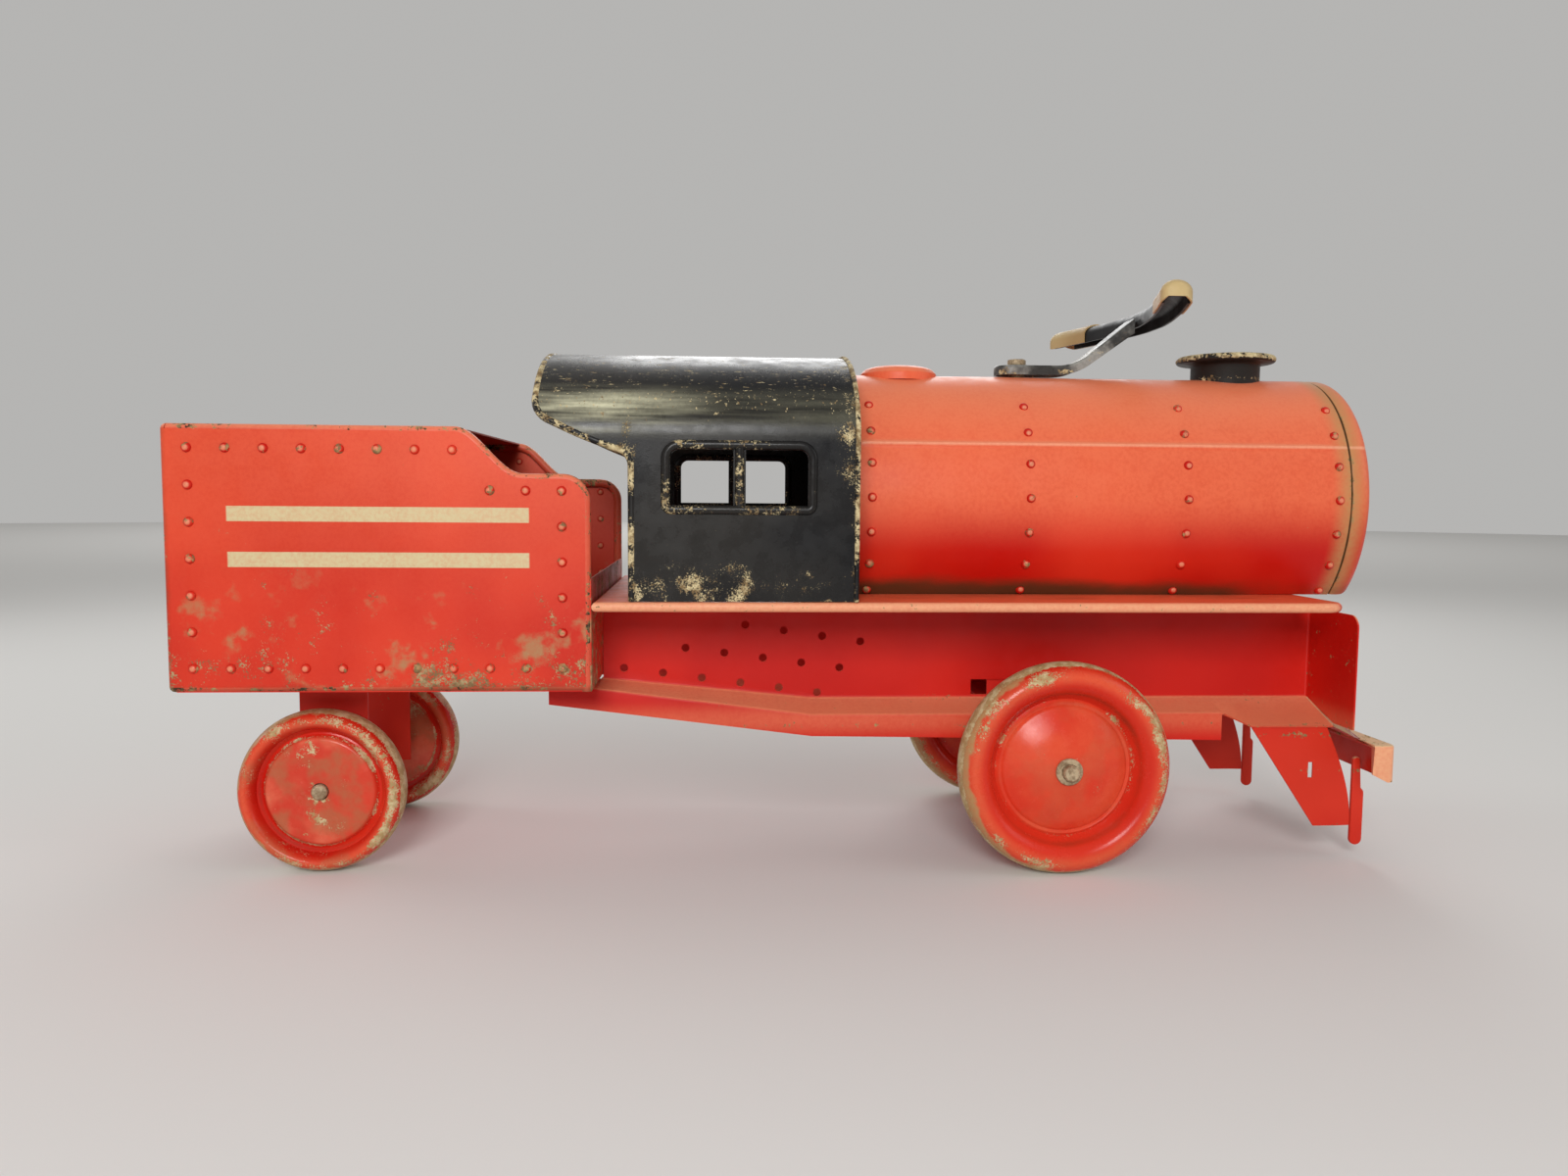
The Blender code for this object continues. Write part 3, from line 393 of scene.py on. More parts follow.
def settle(obj, sharp):
    """Replace an object's mesh by what its modifiers make of it, smooth up to the sharp angle."""
    ready = obj.evaluated_get(bpy.context.evaluated_depsgraph_get())
    mesh = bpy.data.meshes.new_from_object(ready)
    obj.modifiers.clear()
    obj.data = mesh
    mesh.shade_smooth()
    mesh.set_sharp_from_angle(angle=math.radians(sharp))


def declare(obj, body):
    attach(obj, body)
    print(obj.name, "has", len(obj.data.polygons), "faces")


def finish_piece(name, bm, mat, body="chassis", slot="red_paint", stands_for=(), changes=(), holes=(),
                 sharp=SHARP):
    obj = add_object(name, mesh_of(name, bm, MM))
    obj.data.materials.append(mat)
    tools = [add_object("cutter", mesh_of("cutter", hole, MM)) for hole in holes]
    cuts = [("BOOLEAN", {"operation": "DIFFERENCE", "solver": "EXACT", "object": tool}) for tool in tools]
    for kind, settings in (*changes, *cuts):
        modifier = obj.modifiers.new(kind, kind)
        for key, value in settings.items():
            setattr(modifier, key, value)
    settle(obj, sharp)
    for tool in tools:
        bpy.data.objects.remove(tool, do_unlink=True)
    declare(obj, body)
    if stands_for:
        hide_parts(*stands_for)


def dress(node, mat):
    """A better material for a CAD node that stays."""
    materials = frame["nodes"][node].data.materials
    materials.clear()
    materials.append(mat)
    print(node, "dressed in", mat.name)


print("edges over", SHARP, "degrees stay sharp")

# %% [markdown]
# Most of the toy is sheet metal. A sheet could be modelled with both its skins, but then every bend is
# drawn twice. Here it is one layer of faces that share their corners, and a Solidify modifier gives it
# its thickness.

# %% Sheets
def arc(cx, cy, radius, start, end, steps):
    angles = [math.radians(start + (end - start) * k / steps) for k in range(steps + 1)]
    return [(cx + radius * math.cos(a), cy + radius * math.sin(a)) for a in angles]


def sheet_mesh(faces):
    """A bmesh of faces that share their corners."""
    bm = bmesh.new()
    corners = {}
    for face in faces:
        row = []
        for p in face:
            key = tuple(round(c, 3) for c in p)
            if key not in corners:
                corners[key] = bm.verts.new(p)
            row.append(corners[key])
        bm.faces.new(row)
    return bm


def strip(row_a, row_b):
    return [(row_a[i], row_b[i], row_b[i + 1], row_a[i + 1]) for i in range(len(row_a) - 1)]


def lattice(rows):
    """Faces between each row of points and the next."""
    return [face for a, b in zip(rows, rows[1:]) for face in strip(a, b)]


def mirror_faces(faces):
    return [tuple((x, -y, z) for x, y, z in reversed(face)) for face in faces]


def wall(thickness):
    return ("SOLIDIFY", {"thickness": thickness * MM, "offset": -1.0, "use_even_offset": True})


print("quarter arc:", [(round(x, 2), round(y, 2)) for x, y in arc(0, 0, 1, 0, 90, 2)])

# %% [markdown]
# The seat plate, the boiler's cap, the nuts and the cutters for holes are solid. Each could start from
# a primitive that is pulled into shape. Skinning between loops of points is more direct, because the
# loops are the measured outline itself. A prism and a slab are the plainest cases.

# %% Solids
def skin(loops, bm=None):
    """A solid between loops of equal count, in a bmesh of its own or added to one."""
    bm = bm or bmesh.new()
    rows = [[bm.verts.new(p) for p in loop] for loop in loops]
    n = len(rows[0])
    for a, b in zip(rows, rows[1:]):
        for i in range(n):
            bm.faces.new((a[i], a[(i + 1) % n], b[(i + 1) % n], b[i]))
    bm.faces.new(rows[0])
    bm.faces.new(rows[-1])
    bmesh.ops.recalc_face_normals(bm, faces=bm.faces)
    return bm


def prism(outline, low, high, bm=None):
    """An outline in X and Z, drawn out along Y."""
    return skin([[(x, y, z) for x, z in outline] for y in (low, high)], bm)


def slab(outline, low, high):
    """An outline in X and Y, drawn out along Z."""
    return skin([[(x, y, z) for x, y in outline] for z in (low, high)])


cube = slab([(0, 0), (1, 0), (1, 1), (0, 1)], 0, 1)
print("a slab of four points has", len(cube.faces), "faces")
cube.free()

# %% [markdown]
# Hems, beads and rivets follow a path or repeat, which suits Geometry Nodes. A tree can be laid out in
# the node editor, but a script shows every link. These helpers make a tree with named inputs that ends
# in Realize Instances and Set Material, and set an object's inputs by their identifiers.

# %% Node trees
def wire(tree, rows):
    """Join nodes, with rows of (node, output, node, input)."""
    for source, output, target, socket in rows:
        tree.links.new(source.outputs[output], target.inputs[socket])


def new_tree(name, inputs):
    """A node group with named inputs; gives the tree, its input node and the node that takes the shape."""
    tree = bpy.data.node_groups.new(name, "GeometryNodeTree")
    for label, kind in (*inputs, ("Material", "Material")):
        tree.interface.new_socket(label, in_out="INPUT", socket_type=f"NodeSocket{kind}")
    tree.interface.new_socket("Shape", in_out="OUTPUT", socket_type="NodeSocketGeometry")
    start, end = tree.nodes.new("NodeGroupInput"), tree.nodes.new("NodeGroupOutput")
    real, paint = tree.nodes.new("GeometryNodeRealizeInstances"), tree.nodes.new("GeometryNodeSetMaterial")
    wire(tree, ((real, "Geometry", paint, "Geometry"), (start, "Material", paint, "Material"),
                (paint, "Geometry", end, "Shape")))
    return tree, start, real


def add_nodes(obj, tree, values):
    """Put a node tree on an object, with its named inputs set by their identifiers."""
    names = {item.name: item.identifier for item in tree.interface.items_tree if item.in_out == "INPUT"}
    modifier = obj.modifiers.new(tree.name, "NODES")
    modifier.node_group = tree
    for name, value in values.items():
        modifier[names[name]] = value


print("node trees so far:", len(bpy.data.node_groups))

# %% [markdown]
# Rolled edges follow a path: the top of the tender's sides, the lip of the cab roof, the frame round
# the windows. A curve object with a bevel could make each of them. One tree turns any path into a tube
# instead, with its radius as a named input, and a path stays a plain list of points.

# %% Tubes by Geometry Nodes
TUBE_SIDES, TUBE_SHARP = 12, 60


def tube_tree():
    tree, start, real = new_tree("tube_along_path", (("Path", "Geometry"), ("Radius", "Float")))
    path, ring = tree.nodes.new("GeometryNodeMeshToCurve"), tree.nodes.new("GeometryNodeCurvePrimitiveCircle")
    tube = tree.nodes.new("GeometryNodeCurveToMesh")
    ring.inputs["Resolution"].default_value = TUBE_SIDES
    tube.inputs["Fill Caps"].default_value = True
    wire(tree, ((start, "Path", path, "Mesh"), (path, "Curve", tube, "Curve"),
                (start, "Radius", ring, "Radius"), (ring, "Curve", tube, "Profile Curve"),
                (tube, "Mesh", real, "Geometry")))
    return tree


TUBE = tube_tree()


def tubes(name, paths, radius, mat, flat=None):
    """Tubes along paths on the chassis; a path that ends where it starts is a ring.

    flat, as (centre, share), presses the tubes towards a plane square to Y.
    """
    bm = bmesh.new()
    for path in paths:
        ring = path[0] == path[-1]
        row = [bm.verts.new(p) for p in (path[:-1] if ring else path)]
        for a, b in zip(row, row[1:] + row[:1] if ring else row[1:]):
            bm.edges.new((a, b))
    obj = add_object(name, mesh_of(name, bm, MM))
    add_nodes(obj, TUBE, {"Radius": radius * MM, "Material": mat})
    settle(obj, TUBE_SHARP)
    if flat:
        centre, share = flat
        for v in obj.data.vertices:
            v.co.y = centre * MM + (v.co.y - centre * MM) * share
    declare(obj, "chassis")


print("node tree", TUBE.name, "has", len(TUBE.nodes), "nodes")

# %% [markdown]
# The tender's red has faded a little at the top. A low band of rust and dust creeps up from the bottom
# edge, the hems are chipped, and two plain cream lines are painted across the middle of each side. The
# lines could be faces with a material of their own. As a field they chip and rust with the paint
# around them.

# %% Tender finish
STRIPE_HEIGHTS, STRIPE_HALF, STRIPE_EDGE = (219.5, 193.5), 4.5, 0.4
STRIPE_TAIL, STRIPE_LEAD, STRIPE_FADE = -330.0, -160.0, 1.0

t_low, t_high = span("tender_body")


def tender_wear(f):
    tail, top = f.near(f.x, t_low.x, 5, 0.8), f.near(f.z, t_high.z, 4, 0.6)
    corner = f.both(f.near(f.x, t_low.x, 6, 0.6), f.near(f.z, t_high.z, 6))
    return f.most(f.near(f.z, t_low.z, 5), f.near(f.x, t_high.x, 7, 0.7),
                  f.both(f.out(108, 113), f.most(tail, top)), corner)


def tender_rust(f):
    low = f.ramp(f.z, 122, 215, 0.85, 0.1)
    corner = f.both(f.near(f.x, t_high.x, 50), f.near(f.z, t_low.z, 60))
    return f.most(low, corner, f.both(f.near(f.z, t_high.z, 18, 0.55), f.out(104, 112)))


def tender_dust(f):
    cloud = f.blend(f.noise(34, 3, 0.55, shift=6.2), f.noise(160, 3, 0.6), 0.25)
    return f.both(f.ramp(f.z, 150, 205, 1.0, 0.0), f.ramp(cloud, 0.54, 0.66, 0.0, 0.8))


def tender_dark_edges(f):
    """Darker along the bottom and the tail end."""
    edges = f.most(f.near(f.z, t_low.z, 9, 0.6), f.near(f.x, t_low.x, 8, 0.45))
    return f.both(f.out(108, 112), edges)


def tender_stripes(f):
    """Two level lines on the outer faces."""
    along = f.both(f.ramp(f.x, STRIPE_TAIL, STRIPE_TAIL + STRIPE_FADE),
                   f.ramp(f.x, STRIPE_LEAD - STRIPE_FADE, STRIPE_LEAD, 1.0, 0.0))
    lines = f.most(*(f.ramp(f.gap(f.z, z), STRIPE_HALF - STRIPE_EDGE, STRIPE_HALF, 1.0, 0.0)
                     for z in STRIPE_HEIGHTS))
    return f.both(along, lines, f.out(111.9, 112.1))


def rubbed(scale, low, high, detail=3):
    """Patches of wear, for trim that is rubbed all along."""
    return lambda f: f.ramp(f.noise(scale, detail), low, high)


tender_red = worn_paint("tender_red", RED, tender_wear, gain=0.2, limit=0.665, patch=tender_rust,
                        films=((lambda f: f.ramp(f.z, 150, 260, 0.15, 0.55), RED_FADED),
                               (tender_dust, (0.36, 0.24, 0.11)), (tender_stripes, CREAM)),
                        grime_and_shade=tender_dark_edges, bare=(KHAKI, (0.44, 0.33, 0.17)))
# The hem's pink film grows on the faces that look up: a painted highlight along the rolled edge.
hem_red_highlit = worn_paint("worn_hem_red", RED, rubbed(40, 0.35, 0.65), gain=0.13, limit=0.605,
                     films=((lambda f: f.ramp(f.facing[2], -0.2, 0.8, 0.3, 0.9), (0.80, 0.25, 0.13)),),
                     grime_and_shade=tender_dark_edges, bare=(SOOT, TAN))

# %% [markdown]
# The tender is one bent sheet: two sides and the back. Its side steps down towards the cab in a smooth
# wave, and the top and front edges are rolled into a hem. The wave could be a spline, but half a
# cosine starts and ends level by itself. The hem is a tube along the same line, set in by its radius,
# and the seat is a plate between the hems.

# %% Tender
SHEET = 1.0
TENDER_CORNER, SIDE_CORNER, HEM = 4.0, 16.0, 3.0
STEP_DROP, STEP_LENGTH, STEP_FLAT, STEP_POINTS = 26.5, 39.0, 38.0, 24
STRAIGHT = 20.0


def inset_path(points, depth):
    """A path moved to its right-hand side."""
    out = []
    for k, (x, z) in enumerate(points):
        (xa, za), (xb, zb) = points[max(k - 1, 0)], points[min(k + 1, len(points) - 1)]
        length = math.hypot(xb - xa, zb - za)
        out.append((x + depth * (zb - za) / length, z - depth * (xb - xa) / length))
    return out


def tail_line(inset, steps):
    """The two rear corners seen from above, from the right side round to the left."""
    x, y, r = x_tail + TENDER_CORNER, tender_half - TENDER_CORNER, TENDER_CORNER - inset
    return arc(x, -y, r, -90, -180, steps) + arc(x, y, r, 180, 90, steps)


x_tail, x_front, tender_half = t_low.x, t_high.x, t_high.y
z_step, x_seat = t_high.z - STEP_DROP, x_front - STEP_LENGTH - STEP_FLAT
z_hem, y_hem = t_low.z + HEM, tender_half - HEM
wave = [(x_seat + STEP_LENGTH * k / STEP_POINTS,
         z_step + STEP_DROP * (1 + math.cos(math.pi * k / STEP_POINTS)) / 2) for k in range(STEP_POINTS + 1)]
top_edge = ([(x_tail + TENDER_CORNER, t_high.z), (x_seat - STRAIGHT, t_high.z)] + wave
            + arc(x_front - SIDE_CORNER, z_step - SIDE_CORNER, SIDE_CORNER, 90, 0, 12)
            + [(x_front, t_low.z + STRAIGHT), (x_front, t_low.z)])
inner_edge = inset_path(top_edge, HEM)
profile = [(x_tail + TENDER_CORNER, z_hem), (inner_edge[-1][0], z_hem)] + inner_edge[-2::-1]
side_face = [tuple((x, -tender_half, z) for x, z in profile)]
back = strip(*([(x, y, z) for x, y in tail_line(0, 6)] for z in (z_hem, t_high.z - HEM)))
finish_piece("tender_sides", sheet_mesh(side_face + mirror_faces(side_face) + back), tender_red,
             stands_for=("tender_body",), changes=(wall(SHEET),))

tail = tail_line(HEM, 4)
hems = [[(x, side * y_hem, z) for x, z in inner_edge] for side in (-1, 1)]
hems.append([(x, y, t_high.z - HEM) for x, y in tail])
hems.append([(x, y, z_hem) for x, y in ((x_front - HEM, -y_hem), *tail, (x_front - HEM, y_hem))])
tubes("tender_hems", hems, HEM, hem_red_highlit)
seat = [(x_tail + HEM, y_hem), (x_tail + HEM, -y_hem), (x_seat, -y_hem), (x_seat, y_hem)]
finish_piece("seat_plate", slab(seat, t_high.z - SHEET, t_high.z), tender_red, stands_for=("tender_top",))
dress("tender_front", tender_red)
print("tender side is", round(x_front - x_tail), "mm long")

# %% [markdown]
# The boiler's paint has gone pink and chalky on top, and a painted sheen lies there as well, growing with
# height and on the faces that look up. A pale line along the bead is a painted highlight. A dark band where
# it meets the running board is dirt and painted shade, and dust and rust have gathered at the seam of the
# front cap. All of it could be painted in. Fields of height, length and facing put it there by rule, on both
# sides alike.

# %% Boiler finish
BOILER_AXIS, BOILER_HALF, BEAD_ANGLE = 60.5, 75.0, 25.0

b_low, b_high = span("boiler_shell")
n_low, n_high = span("boiler_front")
d_low, d_high = span("deck")
boiler_z = d_high.z + BOILER_AXIS
boiler_rise = b_high.z - boiler_z
z_bead = boiler_z + boiler_rise * math.sin(math.radians(BEAD_ANGLE))


def facing_up(f):
    return f.ramp(f.facing[2], 0.2, 0.95)


def boiler_wear(f):
    return f.most(f.near(f.x, b_high.x, 4, 0.8), f.near(f.x, n_high.x, 3, 0.4))


def boiler_fade_and_sheen(f):
    return f.ramp(f.z, 196, 236, 0.0, 0.8)


def boiler_bead_highlight(f):
    return f.both(f.near(f.z, z_bead, 1.6, 0.6), f.ramp(f.x, 36, 38), f.out(58, 62))


def boiler_dirt_and_shade(f):
    foot = f.both(f.near(f.z, b_low.z, 18), f.ramp(f.x, 200, 340, 1.0, 0.5))
    return f.most(foot, f.near(f.x, b_high.x, 1.6))


# Painted light here: the films of height and of upward facing are fade and painted sheen, the bead's pale
# line is a painted highlight, and the dark band at the foot is dirt and painted shade.
boiler_red = worn_paint("boiler_red", RED, boiler_wear, gain=0.2, limit=0.685, grime_and_shade=boiler_dirt_and_shade, gloss=0.34,
                        films=((boiler_fade_and_sheen, (0.82, 0.17, 0.072)), (facing_up, (0.82, 0.22, 0.105)),
                               (lambda f: f.near(f.x, b_high.x, 14, 0.8), (0.45, 0.26, 0.10)),
                               (boiler_bead_highlight, (0.90, 0.45, 0.28))))

# %% [markdown]
# The boiler is a tall oval, cut off by the running board, with a bead pressed along it a third of the
# way up. A scaled cylinder could give the oval, and a bump the bead. A fine grid is used instead, with
# extra lines at the bead, so that the bead and the shallow dents are real shape.

# %% Boiler
BEAD_WIDTH, BEAD_HEIGHT, BEAD_START, BEAD_STOP = 1.5, 1.3, 6.0, 12.0
BEAD_LINES = (0.0, 0.5, 1.0, 1.6, 2.6)
SEAM, DENT, DENT_FADE, DENT_LENGTH, DENT_ANGLE, DENT_SEED = 0.7, 0.35, 30.0, 55.0, 28.0, 4.2
MM_PER_DEGREE = 1.4
LINES, STATIONS = 150, 70


def boiler_point(x, angle, grow=0.0):
    """A point on the oval; the angle is measured up from the near side's level line."""
    a = math.radians(angle)
    return (x, -(BOILER_HALF + grow) * math.cos(a), boiler_z + (boiler_rise + grow) * math.sin(a))


def boiler_grow(x, angle):
    """How far the skin stands out: bead, dents, and the rounded edge at the seam."""
    bead = 0.0
    if b_low.x + BEAD_START < x < b_high.x - BEAD_STOP:
        for mid in (BEAD_ANGLE, 180 - BEAD_ANGLE):
            bead += BEAD_HEIGHT * math.exp(-((angle - mid) * MM_PER_DEGREE / BEAD_WIDTH) ** 2)
    dents = DENT * noise.noise(Vector((x / DENT_LENGTH, angle / DENT_ANGLE, DENT_SEED)))
    edge = -SEAM if x == b_high.x else 0.0
    return bead + dents * min(1.0, (b_high.x - x) / DENT_FADE) + edge


foot_angle = math.degrees(math.asin((b_low.z - boiler_z) / boiler_rise))
angles = [foot_angle + (180 - 2 * foot_angle) * k / LINES for k in range(LINES + 1)]
angles += [mid + way * d for mid in (BEAD_ANGLE, 180 - BEAD_ANGLE) for d in BEAD_LINES for way in (-1, 1)]
angles = sorted(set(angles))
stations = [b_low.x + (b_high.x - b_low.x) * k / STATIONS for k in range(STATIONS)]
stations += [b_high.x - SEAM, b_high.x]
grid = [[boiler_point(x, a, boiler_grow(x, a)) for a in angles] for x in stations]
finish_piece("boiler_skin", sheet_mesh(lattice(grid)), boiler_red, stands_for=("boiler_shell",),
             changes=(wall(SHEET),))

# %% [markdown]
# The front cap is pressed from one disc: a flat face, a round shoulder, and a rim that slips over the
# boiler's end. A bevel on a plain disc would round its edge, but would miss the fine step at the seam.
# So the cap is skinned from rings of the boiler's own oval, each set in by its place on the profile.

# %% Boiler cap
CAP_PROFILE = ((0.0, 0.9), (0.05, 0.15), (0.4, 0.1), (0.62, 0.9), (0.82, 3.4), (0.95, 7.8), (1.0, 13.0),
               (0.99, 17.0), (0.93, 19.5), (0.93, 24.0))
CAP_TUCK, CAP_POINTS = 2.5, 96


def flow(points, per_span):
    """A smooth curve through points, sampled evenly between them."""
    pts = [Vector(p) for p in points]
    pts = [2 * pts[0] - pts[1]] + pts + [2 * pts[-1] - pts[-2]]
    out = []
    for a, b, c, d in zip(pts, pts[1:], pts[2:], pts[3:]):
        for k in range(per_span):
            t = k / per_span
            out.append(0.5 * (2 * b + (c - a) * t + (2 * a - 5 * b + 4 * c - d) * t * t
                              + (3 * b - a - 3 * c + d) * t ** 3))
    return [tuple(p) for p in out + [pts[-2]]]


def cap_ring(x, inset):
    low = math.asin((b_low.z + inset - boiler_z) / (boiler_rise - inset))
    sweep = [low + (math.pi - 2 * low) * k / CAP_POINTS for k in range(CAP_POINTS + 1)]
    return [(x, -(BOILER_HALF - inset) * math.cos(a), boiler_z + (boiler_rise - inset) * math.sin(a))
            for a in sweep]


depth = n_high.x - n_low.x
rings = [cap_ring(n_low.x + depth * share, inset) for share, inset in flow(CAP_PROFILE, 4)]
finish_piece("boiler_cap", skin([cap_ring(n_low.x, CAP_TUCK)] + rings), boiler_red,
             stands_for=("boiler_front",), sharp=40)

# %% [markdown]
# The cab is black, the most knocked about of all: bare in crowds of specks along its foot and edges,
# scratched along the roof, and hazy below the roof's curve, where rubbed paint and a painted sheen lie
# together. The scratches along the roof's shoulder also make a painted highlight line there. One even
# noise would look like dirt all over. Fields gather the specks where the knocks came, and stretched
# noise makes the scratches.

# %% Cab finish
CAB_LENGTH, CAB_WALL = 134.0, 96.5
WORN_TO_CREAM = (KHAKI, CREAM)

c_low, c_high = span("cab_shell")
x_cab, z_spring = c_high.x - CAB_LENGTH, d_high.z + CAB_WALL


def off_ends(f, field):
    """Keeps a field off the faces that look along X."""
    return f.both(field, f.ramp(f.math("ABSOLUTE", f.facing[0]), 0.4, 0.8, 1.0, 0.0))


def cab_wear(f):
    ends = f.most(f.near(f.x, c_high.x, 10, 0.6), f.near(f.x, c_low.x, 10, 0.5))
    return f.most(off_ends(f, ends), f.near(f.z, c_low.z, 8, 0.8))


def cab_bare(f):
    """Where the black has gone in crowds of specks: foot, edges, the corner under the overhang."""
    patches = f.ramp(f.noise(60, 3, 0.6, shift=8.1), 0.38, 0.6, 0.55, 1.0)
    foot = f.both(f.ramp(f.z, 172, 202, 1.0, 0.22), patches)
    corner = f.both(f.near(f.x, x_cab, 16), f.near(f.z, d_high.z + 84, 22))
    ends = f.most(f.near(f.x, c_high.x, 22, 0.85), f.near(f.x, x_cab, 8, 0.7))
    return f.most(foot, corner, off_ends(f, ends), f.ramp(f.facing[2], 0.4, 0.8, 0.0, 0.28))


def cab_rub_and_sheen(f):
    """The hazy band below the roof's curve, strongest towards the rear: rubbed paint and painted sheen."""
    return f.both(f.ramp(f.x, -125, -40, 0.95, 0.12), f.ramp(f.z, 284, 298, 1.0, 0.0),
                  f.ramp(f.z, 262, 280), f.ramp(f.noise(90, 3, 0.6, (0.08, 1, 1)), 0.3, 0.6))


# The khaki film below the roof's curve is rubbed paint and painted sheen; the scratch band near the shoulder
# is wear and a painted highlight line.
cab_black = worn_paint("cab_black", BLACK, cab_wear, gain=0.15, limit=0.685, patch=cab_bare, gloss=0.27,
                       films=((cab_rub_and_sheen, (0.68, 0.65, 0.45)),), bare=WORN_TO_CREAM,
                       streaks=(((0.3, 1, 1), 700, 0.832, lambda f: f.ramp(f.facing[2], 0.3, 0.8)),
                                ((1, 1, 0.14), 520, 0.815, lambda f: f.near(f.z, 286, 24))))
lip_black = worn_paint("worn_lip_black", BLACK, rubbed(38, 0.3, 0.55), gain=0.2, limit=0.62, gloss=0.35,
                       grain=2.0, bare=WORN_TO_CREAM)
bead_black = worn_paint("bead_black", BLACK, rubbed(38, 0.35, 0.6), gain=0.14, limit=0.655, gloss=0.24,
                        grain=2.0, bare=WORN_TO_CREAM)

# %% [markdown]
# The cab's sides and roof are one bent sheet. Its outline, with the rear overhang and the windows,
# could be drawn face by face, which is slow on a curve. It is made as a plain tunnel instead: one
# cutter takes away what lies below the overhang, and two more punch the windows through both sides.

# %% Cab
VISOR_FRONT, VISOR_REAR, VISOR_CORNER = 88.0, 107.0, 9.0
VISOR_LEAD, VISOR_LIFT, VISOR_TIP, VISOR_TIP_FALL = 16.0, 4.5, 11.0, 4.2
VISOR_NOSE, VISOR_NOSE_FALL, VISOR_END = 1.0, 0.6, 9.0
PANE_WIDTH, PANE_HEIGHT, PANE_SILL, PANE_INSET, PANE_CORNER, MULLION = 36.6, 32.3, 56.5, 23.7, 5.5, 7.2
CUT_MARGIN, CAB_STATIONS = 5.0, 6

cab_half, roof_rise = c_high.y, c_high.z - z_spring


def quad(a, b, c, steps):
    """Points of a curve from a to c that heads for b."""
    return [tuple((1 - t) ** 2 * p + 2 * t * (1 - t) * q + t * t * r for p, q, r in zip(a, b, c))
            for t in (k / steps for k in range(1, steps + 1))]


def cab_arch(x, grow=0.0):
    return [(x, -(cab_half + grow) * math.cos(math.radians(a)),
             z_spring + (roof_rise + grow) * math.sin(math.radians(a))) for a in range(0, 181, 2)]


def cab_row(x):
    return [(x, -cab_half, c_low.z)] + cab_arch(x) + [(x, cab_half, c_low.z)]


def pane(k):
    """Outline of one window; the outer top corner is round."""
    x0, x1 = pane_ends[k]
    r = PANE_CORNER
    if k:
        return [(x0, z_sill), (x1, z_sill)] + arc(x1 - r, z_head - r, r, 0, 90, 6) + [(x0, z_head)]
    return [(x0, z_sill), (x1, z_sill), (x1, z_head)] + arc(x0 + r, z_head - r, r, 90, 180, 6)


z_rear = d_high.z + VISOR_REAR
visor = arc(x_cab - VISOR_CORNER, d_high.z + VISOR_FRONT - VISOR_CORNER, VISOR_CORNER, 0, 75, 6)
x_bow, z_bow = visor[-1]
tip = (c_low.x + VISOR_TIP, z_rear - VISOR_TIP_FALL)
visor += quad(visor[-1], (x_bow - VISOR_LEAD, z_bow + VISOR_LIFT), tip, 8)
visor += quad(tip, (c_low.x + VISOR_NOSE, z_rear - VISOR_NOSE_FALL), (c_low.x, z_rear + VISOR_END), 6)
x_past, z_past, wide = c_low.x - CUT_MARGIN, c_low.z - CUT_MARGIN, cab_half + CUT_MARGIN
below = [(x_past, z_past), (x_cab, z_past)] + visor + [(x_past, z_rear + VISOR_END)]
z_sill = d_high.z + PANE_SILL
z_head = z_sill + PANE_HEIGHT
pane_starts = [x_cab + PANE_INSET + k * (PANE_WIDTH + MULLION) for k in range(2)]
pane_ends = [(x, x + PANE_WIDTH) for x in pane_starts]
cab_rows = [cab_row(c_low.x + (c_high.x - c_low.x) * k / CAB_STATIONS) for k in range(CAB_STATIONS + 1)]
finish_piece("cab_skin", sheet_mesh(lattice(cab_rows)), cab_black, slot="black_paint",
             stands_for=("cab_shell",), changes=(wall(SHEET),),
             holes=[prism(outline, -wide, wide) for outline in (below, pane(0), pane(1))])
dress("cab_front", cab_black)

# %% [markdown]
# A rolled lip follows the rear edge of the wall, runs out under the overhang and over the roof. A thin
# bead closes the front edge, and a pressed bead frames each pair of windows. A bevel could only round
# the thin sheet itself, so all of these are tubes, and those round the windows are pressed a little
# flat.

# %% Cab beads
LIP, LIP_INSET, LIP_PROUD, LIP_STEP = 2.2, 0.8, 0.7, 2.0
FRONT_BEAD, FRONT_BEAD_INSET = 1.5, 0.9
FRAME_BEAD, FRAME_CORNER, FRAME_PRESS, MULLION_LAP = 2.7, 3.0, 0.8, 1.0
SIDES = ((-1, "right"), (1, "left"))


def cab_y(z, inset):
    """Half width of the cab at a height."""
    share = max(0.0, z - z_spring) / roof_rise
    return (cab_half - inset) * math.sqrt(max(0.0, 1 - share * share))


lip_line = inset_path([(x_cab, c_low.z), (x_cab, c_low.z + STRAIGHT)] + visor, LIP - LIP_INSET)
near_lip = [(x, -cab_y(z, LIP - LIP_PROUD), z) for x, z in lip_line]
x_lip_end, _, z_lip_end = near_lip[-1]
roof_lip = [p for p in cab_arch(x_lip_end, LIP_PROUD - LIP) if p[2] > z_lip_end + LIP_STEP]
far_lip = [(x, -y, z) for x, y, z in near_lip[::-1]]
tubes("cab_lip", [near_lip + roof_lip + far_lip], LIP, lip_black)
tubes("cab_front_bead", [cab_row(c_high.x - FRONT_BEAD_INSET)], FRONT_BEAD, lip_black)

